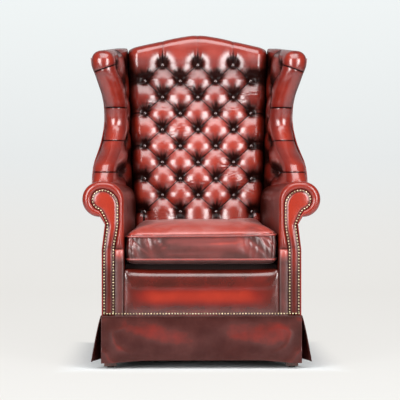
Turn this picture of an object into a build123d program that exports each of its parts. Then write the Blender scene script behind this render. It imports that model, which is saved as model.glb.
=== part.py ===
from build123d import *
import math
import os

# High-back scroll-wing chesterfield armchair, in millimetres.
# The front faces -Y, +X is the right-hand side seen from the front, +Z is up.
# Left and right are named as seen from the front. The origin is the centre of the floor area.

# Heights above the floor
crest_height = 1165.0
arm_height = 612.0
deck_height = 340.0
skirt_height = 175.0
hem_height = 28.0
glide_height = 6.0

# Drops from one height to the next
wing_drop = 83.0
top_row_drop = 109.0
neck_drop = 142.0
crease_drop = 80.0
border_drop = 14.0
rail_drop = 40.0
cover_tuck = 10.0
rail_tuck = 15.0

# Widths and depths
overall_width = 780.0
scroll_overhang = 68.0
arm_build = 68.0
seat_depth = 524.0
seat_taper = 22.0

# Clearances
soft_gap = 0.4
timber_gap = 0.5
overrun = 60.0

# Timber sections
leg_size = 40.0
rail_thickness = 30.0
post_width = 45.0
post_depth = 50.0
board_thickness = 22.0
tenon_length = 16.0
tenon_thickness = 12.0
tenon_shoulder = 30.0
corner_block_height = 60.0
corner_block_reach = 62.0
tack_rail_height = 40.0
tack_rail_thickness = 20.0
crest_rail_thickness = 32.0
crest_rail_depth = 70.0
arm_rail_height = 70.0
wing_post_width = 20.0
wing_post_depth = 30.0
wing_rail_height = 36.0
glide_radius = 11.0

# Covers, straps and skirt
facing_thickness = 8.0
cover_thickness = 4.0
dust_cover_thickness = 1.0
strap_width = 50.0
strap_thickness = 2.0
skirt_thickness = 3.0
skirt_flare = 1.0
skirt_fold_depth = 9.0
side_skirt_kick = 30.0
side_skirt_kick_length = 62.0
welt_radius = 2.0

# Inside back: a reclined pad with staggered rows of deep buttons
recline = 9.6
back_pad_base = 46.0
pillow_height = 25.0
crease_lift = 2.0
channel_drop = 2.0
back_widening = 12.0
column_margin = 56.0
button_columns = 4
button_rows = 10
bottom_row = 162.2
button_radius = 7.0
button_rise = 5.0
dimple_floor_radius = 9.0
dimple_radius = 27.0
dimple_sink = 10.0

# Crest roll
crest_slope_share = 0.25
crest_peak_softness = 50.0
crest_roll_height = 58.0
crest_roll_proud = 4.0
crest_roll_rear = 8.0
crest_pleat_depth = 6.0

# Scroll arm
scroll_radius = 58.0
arm_shoulder_radius = 62.0
arm_lip_proud = 2.0
arm_lip_round = 9.0
pad_over_top = 25.0
neck_tuck = 6.0
neck_wall = 6.0
neck_straight = 20.0
lip_width = 30.0
facing_step = 13.0
facing_eye_radius = 35.0
facing_eye_shift = 7.0

# Wing
wing_top_tuck = 6.0
wing_waist_draw = 46.0
wing_waist_reach = 48.0
wing_sweep = 230.0
wing_roll_radius = 42.0
wing_roll_thinning = 7.0
wing_rear_tuck = 24.0
wing_rear_swell = 24.0
wing_rear_lift = 30.0
wing_pleat_depth = 8.0
wing_dimple_radius = 24.0
wing_dimple_depth = 12.0

# Front border
border_bulge = 2.0
border_round = 18.0
border_shoulder = 48.0

# Seat cushion
cushion_gap = 1.2
cushion_foot = 17.0
cushion_box = 77.0
cushion_crown = 56.0
cushion_corner_radius = 30.0
cushion_draw_in = 5.0
piping_rise = 4.0
piping_half_height = 3.0
cushion_belly_run = 40.0

# Shape tables. Heights run from the arm's top at 0 to the wing's top at 1.
wing_spread_shares = [(-0.1, 0.72), (0.0, 0.7), (0.13, 0.62), (0.2, 0.46), (0.29, 0.24), (0.43, 0.04),
                      (0.52, 0.0), (0.62, 0.06), (0.72, 0.33), (0.8, 0.63), (0.87, 0.9), (1.0, 1.0)]
wing_reach_shares = [(-0.1, 1.0), (0.0, 1.0), (0.13, 0.85), (0.2, 0.65), (0.29, 0.35), (0.43, 0.04),
                     (0.52, 0.0), (0.64, 0.11), (0.72, 0.23), (0.8, 0.35), (0.87, 0.41), (1.0, 0.43)]
wing_pleat_shares = [-0.08, 0.077, 0.323, 0.573, 0.844]
wing_top_share = 0.081
wing_swell_shares = (0.6, 0.95)
wing_lift_shares = (0.55, 0.95)
wing_hip_share = 0.3
wing_post_share = 0.33
wing_front_button_shares = [0.42, 0.38, 0.06, 0.04]
wing_rear_button_shares = [0.8, 0.62, 0.5]
lump_shares = [(0.0, 1.0), (0.14, 0.4), (0.35, 0.0), (0.65, 0.0), (0.86, 0.4)]
closing_shares = [(0.0, 0.0), (0.45, 0.1), (0.78, 0.34), (1.0, 0.7)]
crest_lump_shares = [(0.0, 1.0), (0.14, 0.35), (0.5, 0.0), (0.86, 0.35)]
crest_end_share = 1.6
crest_turn_share = 0.72
eye_turn_shares = (0.77, 0.5)
eye_under_shares = (0.34, 0.72)
throat_shares = (0.36, 0.7)
button_width_shares = (0.8, 1.0, 0.55)
button_rim_share = 0.45
cushion_crown_shares = [(0.03, 0.18), (0.1, 0.37), (0.21, 0.56), (0.37, 0.74), (0.6, 0.9), (0.85, 0.98),
                        (1.0, 1.0)]
cushion_side_shares = (0.3, 0.7)
cushion_bow_share = 0.5
cushion_belly_share = 2.5
cushion_corner_share = 0.3
skirt_fold_shares = [(-1.0, 0.0), (-0.9, 0.55), (-0.8, 0.0), (-0.62, 0.3), (-0.3, 0.0), (0.05, 0.25),
                     (0.4, 0.0), (0.62, 0.3), (0.78, 0.0), (0.89, 0.6), (1.0, 0.0)]
side_fold_shares = [(0.0, 0.0), (0.25, 0.35), (0.5, 0.0), (0.75, 0.4), (1.0, 0.0)]
kick_shares = [(0.45, 0.5), (0.0, 1.0)]
back_strap_shares = [0.12, 0.36, 0.6, 0.84]
seat_strap_count = 6

# Sizes that follow from the ones above
lean = math.sin(math.radians(recline))
upright = math.cos(math.radians(recline))
diagonal_share = math.sqrt(0.5)
back_pad_thickness = back_pad_base + pillow_height
wing_height = crest_height - wing_drop
neck_height = arm_height - neck_drop
crease_height = neck_height - crease_drop
border_height = deck_height - border_drop
rail_top = deck_height - rail_drop
cover_bottom = skirt_height - cover_tuck
rail_bottom = cover_bottom - rail_tuck
frame_half = overall_width / 2 - scroll_overhang
seat_half = frame_half - arm_build
neck_x = frame_half - neck_tuck
facing_inner_x = seat_half + lip_width
back_upper_half = seat_half + back_widening
outer_column = seat_half - column_margin
button_pitch = 2 * outer_column / (button_columns - 1)
wing_top_x = overall_width / 2 - wing_top_tuck
wing_waist_x = wing_top_x - wing_waist_draw
wing_rear_x = frame_half - wing_rear_tuck
wing_waist_setback = seat_depth - wing_waist_reach
wing_foot_setback = wing_waist_setback - wing_sweep
wing_full_share = 1 - wing_top_share
wing_middle_shares = [(low + high) / 2 for low, high in zip(wing_pleat_shares[1:-1], wing_pleat_shares[2:])]
cushion_lower_seam = deck_height + cushion_foot
cushion_upper_seam = cushion_lower_seam + cushion_box
cushion_top = cushion_upper_seam + cushion_crown
cushion_rear_half = seat_half - seat_taper - cushion_gap
cushion_crown_run = ((cushion_rear_half - cushion_corner_radius) / (1 + cushion_corner_share)
                     - piping_rise - soft_gap)
scroll_x = overall_width / 2 - scroll_radius
scroll_z = arm_height - scroll_radius
drift = -seat_taper / seat_depth
rise_to_crest = (crest_height - deck_height) / upright
roll_build = strap_thickness + post_depth + cover_thickness + crest_roll_rear
base_setback = seat_depth + back_pad_thickness / upright
front_build = skirt_flare + skirt_thickness
crest_overhang = (rise_to_crest - crest_roll_height) * lean
overall_depth = front_build + base_setback + crest_overhang + roll_build * upright
front_y = -overall_depth / 2
facing_front = front_y + front_build
board_front = facing_front + facing_thickness
timber_front = board_front + board_thickness
base_y = facing_front + base_setback
leg_outer = frame_half + drift * (timber_front + leg_size - facing_front)
leg_inner = leg_outer - leg_size
post_face = -strap_thickness
post_rear = post_face - post_depth
leg_face_y = base_y - post_face * upright
leg_rear_y = base_y - post_rear * upright
rear_x = frame_half + drift * (leg_rear_y - facing_front)
post_outer = rear_x - rail_thickness
post_inner = post_outer - post_width
arm_rear = leg_rear_y + (arm_height - deck_height) * lean / upright
back_lower_half = seat_half + drift * base_setback - soft_gap
top_row = (crest_height - top_row_drop - deck_height - back_pad_base * lean) / upright
row_pitch = (top_row - bottom_row) / (button_rows - 1)
back_plane = Plane(origin=(0, base_y, deck_height), x_dir=(1, 0, 0), z_dir=(0, -upright, lean))

nodes = {}


def keep(name, shape):
    """Store one named piece."""
    nodes[name] = shape


def keep_pair(name, shape):
    """Store a right-hand piece and its mirror image on the left."""
    keep("right_" + name, shape)
    keep("left_" + name, mirror(shape, about=Plane.YZ))


def block(x0, x1, y0, y1, z0, z1):
    """A box between six faces."""
    box = Solid.make_box(x1 - x0, y1 - y0, z1 - z0)
    return box.moved(Location((x0, y0, z0)))


def outline(start, *steps):
    """A closed wire. A step is one point for a line, or two for an arc's middle and end."""
    edges = []
    here = Vector(*start)
    for step in steps:
        if isinstance(step[0], tuple):
            end = Vector(*step[1])
            edges.append(Edge.make_three_point_arc(here, Vector(*step[0]), end))
        else:
            end = Vector(*step)
            edges.append(Edge.make_line(here, end))
        here = end
    edges.append(Edge.make_line(here, Vector(*start)))
    return Wire(edges)


def polygon(points):
    """A closed wire of straight lines."""
    return Wire.make_polygon([Vector(*point) for point in points], close=True)


def prism(wire, travel):
    """A closed wire swept straight along a vector."""
    return Solid.extrude(Face(wire), Vector(*travel))


def ruled(wires):
    """A solid through closed wires with straight rulings between them."""
    return Solid.make_loft(wires, ruled=True)


def read_shares(table, place):
    """A smooth value read from a table of (place, value) shares."""
    place = min(max(place, table[0][0]), table[-1][0])
    last = len(table) - 1
    slopes = []
    for index in range(last + 1):
        low = table[max(index - 1, 0)]
        high = table[min(index + 1, last)]
        slopes.append((high[1] - low[1]) / (high[0] - low[0]))
    for index in range(last):
        start, end = table[index], table[index + 1]
        if place <= end[0]:
            run = end[0] - start[0]
            t = (place - start[0]) / run
            rise = start[1] * (1 + 2 * t) * (1 - t) ** 2 + end[1] * t * t * (3 - 2 * t)
            return rise + run * (slopes[index] * t * (1 - t) ** 2 - slopes[index + 1] * t * t * (1 - t))


def side_x(y):
    """Outer face of the side timber at depth y."""
    return frame_half + drift * (y - facing_front)


def back_point(x, v, w):
    """A point of the reclined back: v up the slope, w out towards the sitter."""
    return (x, base_y + v * lean - w * upright, deck_height + v * upright + w * lean)


def crest_rise(x):
    """Height up the slope of the crest's top at x."""
    drop = crest_slope_share * (math.hypot(x, crest_peak_softness) - crest_peak_softness)
    return (crest_height - drop - deck_height - back_pad_base / 2 * lean) / upright


def back_half(v):
    """Half width of the inside back at v up the slope."""
    share = v / rise_to_crest
    return back_lower_half + (back_upper_half - back_lower_half) * share


def side_strip(inner, outer, y0, y1, z0, z1):
    """A strip along the tapered side, from inner to outer beyond the timber's face."""
    points = [
        (side_x(y0) + inner, y0, z0),
        (side_x(y0) + outer, y0, z0),
        (side_x(y1) + outer, y1, z0),
        (side_x(y1) + inner, y1, z0),
    ]
    return prism(polygon(points), (0, 0, z1 - z0))


def along_arm(wire, y0, y1):
    """An outline drawn at the facing's front, swept from y0 to y1 along the tapered arm."""
    start = Location((drift * (y0 - facing_front), y0 - facing_front, 0))
    run = y1 - y0
    return prism(wire.moved(start), (drift * run, run, 0))


def space_behind(w, half_width):
    """Everything behind a plane of the back, w out from its base, across a half width."""
    far = leg_rear_y + rise_to_crest
    face_y = base_y - w * upright
    points = [
        (-half_width, face_y, -overrun),
        (-half_width, face_y, deck_height + w * lean),
        back_point(-half_width, rise_to_crest + overrun, w),
        (-half_width, far, crest_height + overrun),
        (-half_width, far, -overrun),
    ]
    return prism(polygon(points), (2 * half_width, 0, 0))


def back_zone():
    """Space of the posts and everything behind the inside back between their outer faces."""
    return space_behind(0, post_outer) + space_behind(post_rear, overall_width)


def pad_outline(side, low, top):
    """Front outline of the inside back in its own plane, grown sideways by side."""
    foot = back_half(low) + side
    corner = crest_rise(back_upper_half) - top
    narrowing = (back_half(corner) + side) / back_half(rise_to_crest)
    arch = []
    for x, draw in reversed(crest_stations()):
        arch.append((x * narrowing, crest_rise(x) - top, 0))
    return polygon([(-foot, low, 0), (foot, low, 0)] + arch)


def pad_zone():
    """Space kept free for the inside back between arms and wings."""
    wire = pad_outline(soft_gap, -overrun, -overrun)
    depth = back_pad_thickness + soft_gap
    return prism(wire, (0, 0, depth)).moved(back_plane.location)


# Timber frame

def back_post():
    """Right rear leg and raked upright in one piece."""
    top = crest_rise(post_outer) - crest_roll_height - crest_rail_depth
    points = [
        (post_inner, leg_face_y, glide_height),
        back_point(post_inner, 0, post_face),
        back_point(post_inner, top, post_face),
        back_point(post_inner, top, post_rear),
        back_point(post_inner, 0, post_rear),
        (post_inner, leg_rear_y, glide_height),
    ]
    return prism(polygon(points), (post_width, 0, 0))


def rail_tenon(x0, x1, y0, y1):
    """A shouldered tenon at a rail's end."""
    return block(x0, x1, y0, y1, rail_bottom + tenon_shoulder, rail_top - tenon_shoulder)


def make_seat_frame():
    """Rails tenoned into the front legs and back posts."""
    leg_back = timber_front + leg_size
    rail_back = timber_front + rail_thickness
    margin = (rail_thickness - tenon_thickness) / 2
    side_inner = side_x(leg_back) - rail_thickness
    leg = block(leg_inner, leg_outer, timber_front, leg_back, glide_height, rail_top)
    front_tenon = rail_tenon(leg_inner, leg_inner + tenon_length, timber_front + margin, rail_back - margin)
    side_tenon = rail_tenon(side_inner + margin, side_inner + rail_thickness - margin,
                            leg_back - tenon_length, leg_back)
    keep_pair("front_leg", leg - front_tenon - side_tenon)
    front = block(-leg_inner, leg_inner, timber_front, rail_back, rail_bottom, rail_top)
    keep("front_rail", front + front_tenon + mirror(front_tenon, about=Plane.YZ))
    side = side_strip(-rail_thickness, 0, leg_back, leg_rear_y, rail_bottom, rail_top)
    keep_pair("side_rail", side + side_tenon)
    rear_face = (leg_face_y + leg_rear_y - rail_thickness) / 2
    rear_back = rear_face + rail_thickness
    rear_tenon = rail_tenon(post_inner, post_inner + tenon_length, rear_face + margin, rear_back - margin)
    rear = block(-post_inner, post_inner, rear_face, rear_back, rail_bottom, rail_top)
    keep("back_rail", rear + rear_tenon + mirror(rear_tenon, about=Plane.YZ))
    keep_pair("back_post", back_post() - rear_tenon)
    make_corner_blocks(leg_back, rear_face)


def make_corner_blocks(leg_back, rear_face):
    """Four glued blocks, one inside each corner of the seat frame."""
    z0 = (rail_bottom + rail_top - corner_block_height) / 2
    front_face = timber_front + rail_thickness
    reach_front = front_face + corner_block_reach
    reach_rear = leg_face_y - corner_block_reach
    front = [
        (leg_inner - corner_block_reach, front_face, z0),
        (leg_inner, front_face, z0),
        (leg_inner, leg_back, z0),
        (side_x(leg_back) - rail_thickness, leg_back, z0),
        (side_x(reach_front) - rail_thickness, reach_front, z0),
    ]
    rear = [
        (post_inner - corner_block_reach, rear_face, z0),
        (post_inner, rear_face, z0),
        (post_inner, leg_face_y, z0),
        (side_x(leg_face_y) - rail_thickness, leg_face_y, z0),
        (side_x(reach_rear) - rail_thickness, reach_rear, z0),
    ]
    right = [prism(polygon(points), (0, 0, corner_block_height)) for points in (front, rear)]
    left = [mirror(item, about=Plane.YZ) for item in right]
    keep("corner_blocks", Compound(children=right + left))


def crest_stations():
    """Places along the crest, with how deep the pleats draw in at each one."""
    ends = [-back_half(rise_to_crest) + soft_gap, -button_pitch, 0.0, button_pitch,
            back_half(rise_to_crest) - soft_gap]
    stations = []
    for start, end in zip(ends[:-1], ends[1:]):
        for share, draw in crest_lump_shares:
            stations.append((start + (end - start) * share, draw))
    stations.append((ends[-1], 1.0))
    stations[0] = (ends[0], crest_end_share)
    stations[-1] = (ends[-1], crest_end_share)
    return stations


def make_crest_rail():
    """Arched board across the tops of the posts."""
    drop = crest_roll_height + soft_gap
    places = [x for x, draw in crest_stations() if abs(x) < post_outer]
    low = crest_rise(post_outer) - crest_roll_height - crest_rail_depth
    upper = [back_point(x, crest_rise(x) - drop, post_face) for x in places]
    left_end = [back_point(-post_outer, low, post_face),
                back_point(-post_outer, crest_rise(post_outer) - drop, post_face)]
    right_end = [back_point(post_outer, crest_rise(post_outer) - drop, post_face),
                 back_point(post_outer, low, post_face)]
    travel = (0, crest_rail_thickness * upright, -crest_rail_thickness * lean)
    keep("crest_rail", prism(polygon(left_end + upper + right_end), travel))


def facing_outline(inset):
    """The scroll-shaped front of an arm inside its padded lip, drawn at the facing's front."""
    y = facing_front
    eye_radius = facing_eye_radius - inset
    eye_x = scroll_x - facing_eye_shift
    eye_z = arm_height - pad_over_top - facing_eye_radius
    top = eye_z + eye_radius
    inner = facing_inner_x + inset
    bend_x = facing_inner_x - facing_step + inset
    shoulder = eye_x - bend_x
    neck = neck_x - neck_wall - inset
    throat = neck_height + neck_straight
    outer = frame_half - inset
    turn_x, turn_z = eye_turn_shares
    under_x = eye_x + eye_radius * eye_under_shares[0]
    under_z = eye_z - eye_radius * eye_under_shares[1]
    throat_x, throat_z = throat_shares
    steps = [
        (inner, y, crease_height),
        (bend_x, y, throat),
        (bend_x, y, top - shoulder),
        ((eye_x - shoulder * diagonal_share, y, top - shoulder * (1 - diagonal_share)), (eye_x, y, top)),
        ((eye_x + eye_radius * diagonal_share, y, eye_z + eye_radius * diagonal_share),
         (eye_x + eye_radius, y, eye_z)),
        ((eye_x + eye_radius * turn_x, y, eye_z - eye_radius * turn_z), (under_x, y, under_z)),
        ((neck + (under_x - neck) * throat_x, y, throat + (under_z - throat) * throat_z),
         (neck, y, throat)),
        (neck, y, neck_height),
        (outer, y, crease_height),
        (outer, y, cover_bottom),
    ]
    return outline((inner, y, cover_bottom), *steps)


def arm_outline(bottom):
    """Outer silhouette of the padded arm, drawn at the facing's front."""
    y = facing_front
    turn = scroll_radius * diagonal_share
    shoulder = arm_shoulder_radius
    shoulder_x = seat_half + shoulder
    core_x = (facing_inner_x + frame_half) / 2
    steps = [
        (seat_half, y, arm_height - shoulder),
        ((shoulder_x - shoulder * diagonal_share, y, arm_height - shoulder * (1 - diagonal_share)),
         (shoulder_x, y, arm_height)),
        (scroll_x, y, arm_height),
        ((scroll_x + turn, y, scroll_z + turn), (scroll_x + scroll_radius, y, scroll_z)),
        ((scroll_x + turn, y, scroll_z - turn), (scroll_x, y, scroll_z - scroll_radius)),
        (neck_x, y, neck_height),
        (core_x, y, neck_height),
        (core_x, y, bottom),
    ]
    return outline((seat_half, y, bottom), *steps)


def make_arm_timbers():
    """Scroll board at the front, scroll rail behind it and the low tacking rail."""
    core = facing_outline(timber_gap)
    keep_pair("arm_front_board", along_arm(core, board_front, timber_front))
    upper = block(0, overall_width, timber_front, arm_rear, arm_height - pad_over_top - arm_rail_height,
                  arm_height)
    keep_pair("arm_rail", (along_arm(core, timber_front, arm_rear) & upper) - back_zone())
    inner = facing_inner_x + timber_gap
    y = facing_front
    section = [
        (inner, y, deck_height),
        (inner + tack_rail_thickness, y, deck_height),
        (inner + tack_rail_thickness, y, deck_height + tack_rail_height),
        (inner, y, deck_height + tack_rail_height),
    ]
    keep_pair("arm_tacking_rail", along_arm(polygon(section), timber_front, leg_rear_y) - back_zone())


def make_back_tacking_rail():
    """Low rail between the posts, which the inside back cover is tacked to."""
    near = (post_face + post_rear + tack_rail_thickness) / 2
    far = near - tack_rail_thickness
    low = tack_rail_height
    high = low + tack_rail_height
    corners = [(low, near), (high, near), (high, far), (low, far)]
    points = [back_point(-post_inner, v, w) for v, w in corners]
    keep("back_tacking_rail", prism(polygon(points), (2 * post_inner, 0, 0)))


# Inside back

def ridges(pitch, count, length, floor, crown):
    """Parallel arc ridges along Y with creases at whole pitches from X = 0."""
    half = count // 2
    y = -length / 2
    steps = [(-half * pitch, y, floor)]
    for index in range(-half, half):
        middle = ((index + 0.5) * pitch, y, crown)
        steps.append((middle, ((index + 1) * pitch, y, floor)))
    steps.append((half * pitch, y, 0))
    return prism(outline((-half * pitch, y, 0), *steps), (0, length, 0))


def turned(shape, angle, x, y):
    """A shape turned about Z and then moved in its plane."""
    return shape.moved(Location((x, y, 0), (0, 0, angle)))


def clip(x0, x1, y0, y1):
    """A tall box over a region of the back's plane."""
    return block(x0, x1, y0, y1, 0, back_pad_thickness + overrun)


def tufted_field(floor, crown):
    """Diamond pillows where two sets of crossing ridges meet."""
    half_pitch = button_pitch / 2
    hypotenuse = math.hypot(half_pitch, row_pitch)
    spacing = button_pitch * row_pitch / hypotenuse
    tilt = math.degrees(math.atan2(half_pitch, row_pitch))
    reach = button_rows * row_pitch * 2
    count = 2 * math.ceil(reach / spacing / 2)
    diagonal = ridges(spacing, count, reach * 2, floor, crown)
    rising = turned(diagonal, -tilt, 0, top_row)
    falling = turned(diagonal, tilt, 0, top_row)
    return rising & falling & clip(-outer_column, outer_column, bottom_row, top_row)


def channel_strips(floor, crown):
    """Straight pleated channels from the outermost buttons to the edges."""
    edge = 2 * back_upper_half
    side_row = top_row - row_pitch
    across = turned(ridges(2 * row_pitch, button_rows + 4, edge * 2, floor, crown), 90, 0, side_row)
    upward = turned(ridges(button_pitch, 8, rise_to_crest * 2, floor, crown), 0, 0, 0)
    downward = turned(ridges(button_pitch, 8, rise_to_crest * 2, floor, crown), 0, button_pitch / 2, 0)
    high = rise_to_crest + overrun
    strips = [
        across & clip(outer_column, edge, 0, top_row),
        across & clip(-edge, -outer_column, 0, top_row),
        upward & clip(-outer_column, outer_column, top_row, high),
        downward & clip(-outer_column, outer_column, 0, bottom_row),
        block(outer_column, edge, top_row, high, 0, crown),
        block(-edge, -outer_column, top_row, high, 0, crown),
    ]
    return strips


def octagon(radius, z):
    """A regular eight-sided wire at height z."""
    corners = []
    for index in range(8):
        turn = math.pi * (2 * index + 1) / 8
        corners.append((radius * math.cos(turn), radius * math.sin(turn), z))
    return polygon(corners)


def button_places():
    """Centres of the back's buttons in its own plane."""
    places = []
    for row in range(button_rows):
        count = button_columns - 1 + row % 2
        for column in range(count):
            x = (column - (count - 1) / 2) * button_pitch
            places.append((x, top_row - row * row_pitch))
    return places


def button_body():
    """A small domed button, flat underneath."""
    foot, rim, top = [button_radius * share for share in button_width_shares]
    return ruled([octagon(foot, 0), octagon(rim, button_rise * button_rim_share), octagon(top, button_rise)])


def make_back_pad():
    """The deeply buttoned inside back, its folds fanning out from each button."""
    floor = back_pad_base + crease_lift
    crown = back_pad_thickness
    pad = tufted_field(floor, crown)
    for strip in channel_strips(floor - channel_drop, crown - channel_drop):
        pad = pad + strip
    wire = pad_outline(0, 0, crest_roll_height + soft_gap)
    pad = pad & prism(wire, (0, 0, crown + overrun))
    sunk = floor - dimple_sink
    over = crown + soft_gap
    cutter = ruled([octagon(dimple_floor_radius, sunk), octagon(dimple_radius, over)])
    button = button_body().moved(Location((0, 0, sunk)))
    cutters = [cutter.moved(Location((x, y, 0))) for x, y in button_places()]
    pad = pad.cut(*cutters)
    keep("back_pad", pad.moved(back_plane.location))
    buttons = [button.moved(Location((x, y, 0))).moved(back_plane.location) for x, y in button_places()]
    keep("back_buttons", Compound(children=buttons))


def crest_section(x, draw):
    """Rounded section of the crest roll at one place along the arch."""
    pinch = crest_pleat_depth * draw
    top = crest_rise(x) - pinch / 2
    low = crest_rise(x) - crest_roll_height
    front = back_pad_thickness + crest_roll_proud - pinch
    rear = post_rear - cover_thickness - crest_roll_rear + pinch
    middle = (front + rear) / 2
    half = (front - rear) / 2
    tall = (top - low) * crest_turn_share
    knee = top - tall
    turn_w = half * diagonal_share
    turn_v = tall * diagonal_share
    return outline(back_point(x, low, front), back_point(x, knee, front),
                   (back_point(x, knee + turn_v, middle + turn_w), back_point(x, top, middle)),
                   (back_point(x, knee + turn_v, middle - turn_w), back_point(x, knee, rear)),
                   back_point(x, low, rear))


def make_crest_roll():
    """Padded roll over the crest rail, drawn in at its pleats."""
    keep("crest_roll", ruled([crest_section(x, draw) for x, draw in crest_stations()]))


# Arms

def arm_pad():
    """Scroll arm with its inside face, one padded piece round the arm timbers."""
    shell = along_arm(arm_outline(rail_top + strap_thickness), facing_front - arm_lip_proud, arm_rear)
    edges = []
    for edge in shell.faces().sort_by(Axis.Y)[0].edges():
        middle = edge @ 0.5
        if middle.Z > neck_height + neck_straight or middle.X < facing_inner_x - facing_step:
            edges.append(edge)
    shell = shell.fillet(arm_lip_round, edges)
    hollow = along_arm(facing_outline(0), facing_front - overrun, arm_rear + overrun)
    y = facing_front
    top = rail_top + strap_thickness
    corners = [(seat_half, y, cover_bottom), (facing_inner_x, y, cover_bottom),
               (facing_inner_x, y, top), (seat_half, y, top)]
    strip = along_arm(polygon(corners), facing_front, timber_front)
    end = along_arm(arm_outline(neck_height - overrun), leg_rear_y, arm_rear + overrun)
    cover = space_behind(post_rear, overall_width) - space_behind(post_rear - cover_thickness, overall_width)
    cap = end & cover
    keep_pair("arm_end_cap", cap - block(0, rear_x + cover_thickness, 0, overall_depth, 0, crest_height))
    return (shell - hollow - back_zone() - pad_zone()) + strip


def make_arm_facings():
    """Flat leather-covered panels that the nails run round."""
    keep_pair("arm_facing", along_arm(facing_outline(soft_gap), facing_front, board_front))


def make_outside_arms():
    """Outside arm covers, leaning in under the scroll."""
    y = facing_front
    neck = neck_x - cover_thickness
    points = [
        (frame_half, y, cover_bottom),
        (frame_half + cover_thickness, y, cover_bottom),
        (frame_half + cover_thickness, y, crease_height),
        (neck_x, y, neck_height),
        (neck, y, neck_height),
        (frame_half, y, crease_height),
    ]
    keep_pair("outside_arm", along_arm(polygon(points), facing_front, leg_rear_y))


# Wings

def climb(limits, share):
    """A straight rise from 0 to 1 between two limits."""
    low, high = limits
    return min(max((share - low) / (high - low), 0), 1)


def wing_frame(share):
    """Edge places of the wing at a height share: front x, front y, roll radius, rear x and rear y."""
    x = wing_waist_x + (wing_top_x - wing_waist_x) * read_shares(wing_spread_shares, share)
    reach = (wing_waist_setback - wing_foot_setback) * read_shares(wing_reach_shares, share)
    y = facing_front + wing_waist_setback - reach
    radius = wing_roll_radius - wing_roll_thinning * (1 - min(max(share, 0), 1))
    z = arm_height + (wing_height - arm_height) * share
    swell = wing_rear_swell * climb(wing_swell_shares, share)
    rear = back_point(0, (z - deck_height) / upright, post_rear)[1]
    return x, y, radius, wing_rear_x + swell, rear, z


def lifted(share, x, y, z):
    """The wing's top climbs towards the back."""
    amount = climb(wing_lift_shares, share) * wing_rear_lift
    run = (y - facing_front - wing_foot_setback) / (base_setback - wing_foot_setback)
    return (x, y, z + amount * run)


def wing_section(share, draw, inset_share):
    """Plan section of the stuffed wing: a rolled front edge and a thinner back end."""
    x, y, radius, rear_outer, rear, z = wing_frame(share)
    height_up = (z - deck_height) / upright
    seam = back_point(0, height_up, 0)[1]
    inner = back_half(height_up) + soft_gap
    pinch = wing_pleat_depth * draw
    rear_inset = (rear_outer - inner) / 2 * inset_share
    inset = radius * inset_share
    middle_x = x - radius
    nose_y = y + pinch + inset
    hip_y = y + radius + pinch * wing_hip_share
    half_left = radius - pinch - inset
    half_right = radius - inset
    depth = hip_y - nose_y
    points = [
        (middle_x - half_left, hip_y),
        (middle_x - half_left * diagonal_share, hip_y - depth * diagonal_share),
        (middle_x, nose_y),
        (middle_x + half_right * diagonal_share, hip_y - depth * diagonal_share),
        (middle_x + half_right, hip_y),
        (rear_outer - rear_inset, rear + overrun),
        (inner + rear_inset, rear + overrun),
        (inner + rear_inset + pinch * wing_hip_share, seam),
    ]
    a, b, c, d, e, f, g, h = [lifted(share, px, py, z) for px, py in points]
    return outline(h, a, (b, c), (d, e), f, g)


def wing_rows():
    """Height shares of the wing's sections with the pleats' draw at each one."""
    ends = wing_pleat_shares + [wing_full_share]
    rows = []
    for start, end in zip(ends[:-1], ends[1:]):
        for share, draw in lump_shares:
            rows.append((start + (end - start) * share, draw, 0.0))
    for share, inset in closing_shares:
        rows.append((wing_full_share + wing_top_share * share, 0.0, inset))
    return rows


def make_wing_timbers():
    """Shaped wing post on the arm rail, and the top rail back to the post."""
    half_width = wing_post_width / 2
    foot = -(pad_over_top + wing_post_width) / (wing_height - arm_height)
    wires = []
    for share in sorted([foot, wing_full_share] + wing_pleat_shares[1:] + wing_middle_shares):
        x, y, radius, rear_outer, rear, z = wing_frame(share)
        middle = x - radius
        y0 = y + radius - wing_post_depth * wing_post_share
        y1 = y0 + wing_post_depth
        corners = [(middle - half_width, y0, z), (middle + half_width, y0, z),
                   (middle + half_width, y1, z), (middle - half_width, y1, z)]
        wires.append(polygon(corners))
    post = ruled(wires)
    x, y, radius, rear_outer, rear, z = wing_frame(wing_full_share)
    middle = x - radius
    start = y + radius + wing_post_depth * (1 - wing_post_share)
    low = z - wing_rail_height
    rear_middle = post_outer
    corners = [(middle - half_width, start, low), (middle + half_width, start, low),
               (rear_middle + wing_post_width, rear, low), (rear_middle - half_width, rear, low)]
    rail = prism(polygon(corners), (0, 0, wing_rail_height)) - back_zone() - post
    return post, rail


def wing_inner_point(share, run):
    """A point on the wing's inner face, run from the roll at 0 to the back at 1, and its normal."""
    x, y, radius, rear_outer, rear, z = wing_frame(share)
    height_up = (z - deck_height) / upright
    seam = back_point(0, height_up, post_face)[1]
    start = Vector(x - 2 * radius, y + radius, z)
    end = Vector(back_half(height_up) + soft_gap, seam, z)
    point = start + (end - start) * run
    direction = (end - start).normalized()
    normal = Vector(-direction.Y, direction.X, 0)
    lift = Vector(*lifted(share, point.X, point.Y, point.Z))
    return lift, normal


def wing_button_places():
    """Buttons in two staggered columns on the wing's inner face."""
    shares = wing_pleat_shares[1:] + wing_middle_shares
    runs = wing_front_button_shares + wing_rear_button_shares
    return [wing_inner_point(share, run) for share, run in zip(shares, runs)]


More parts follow.
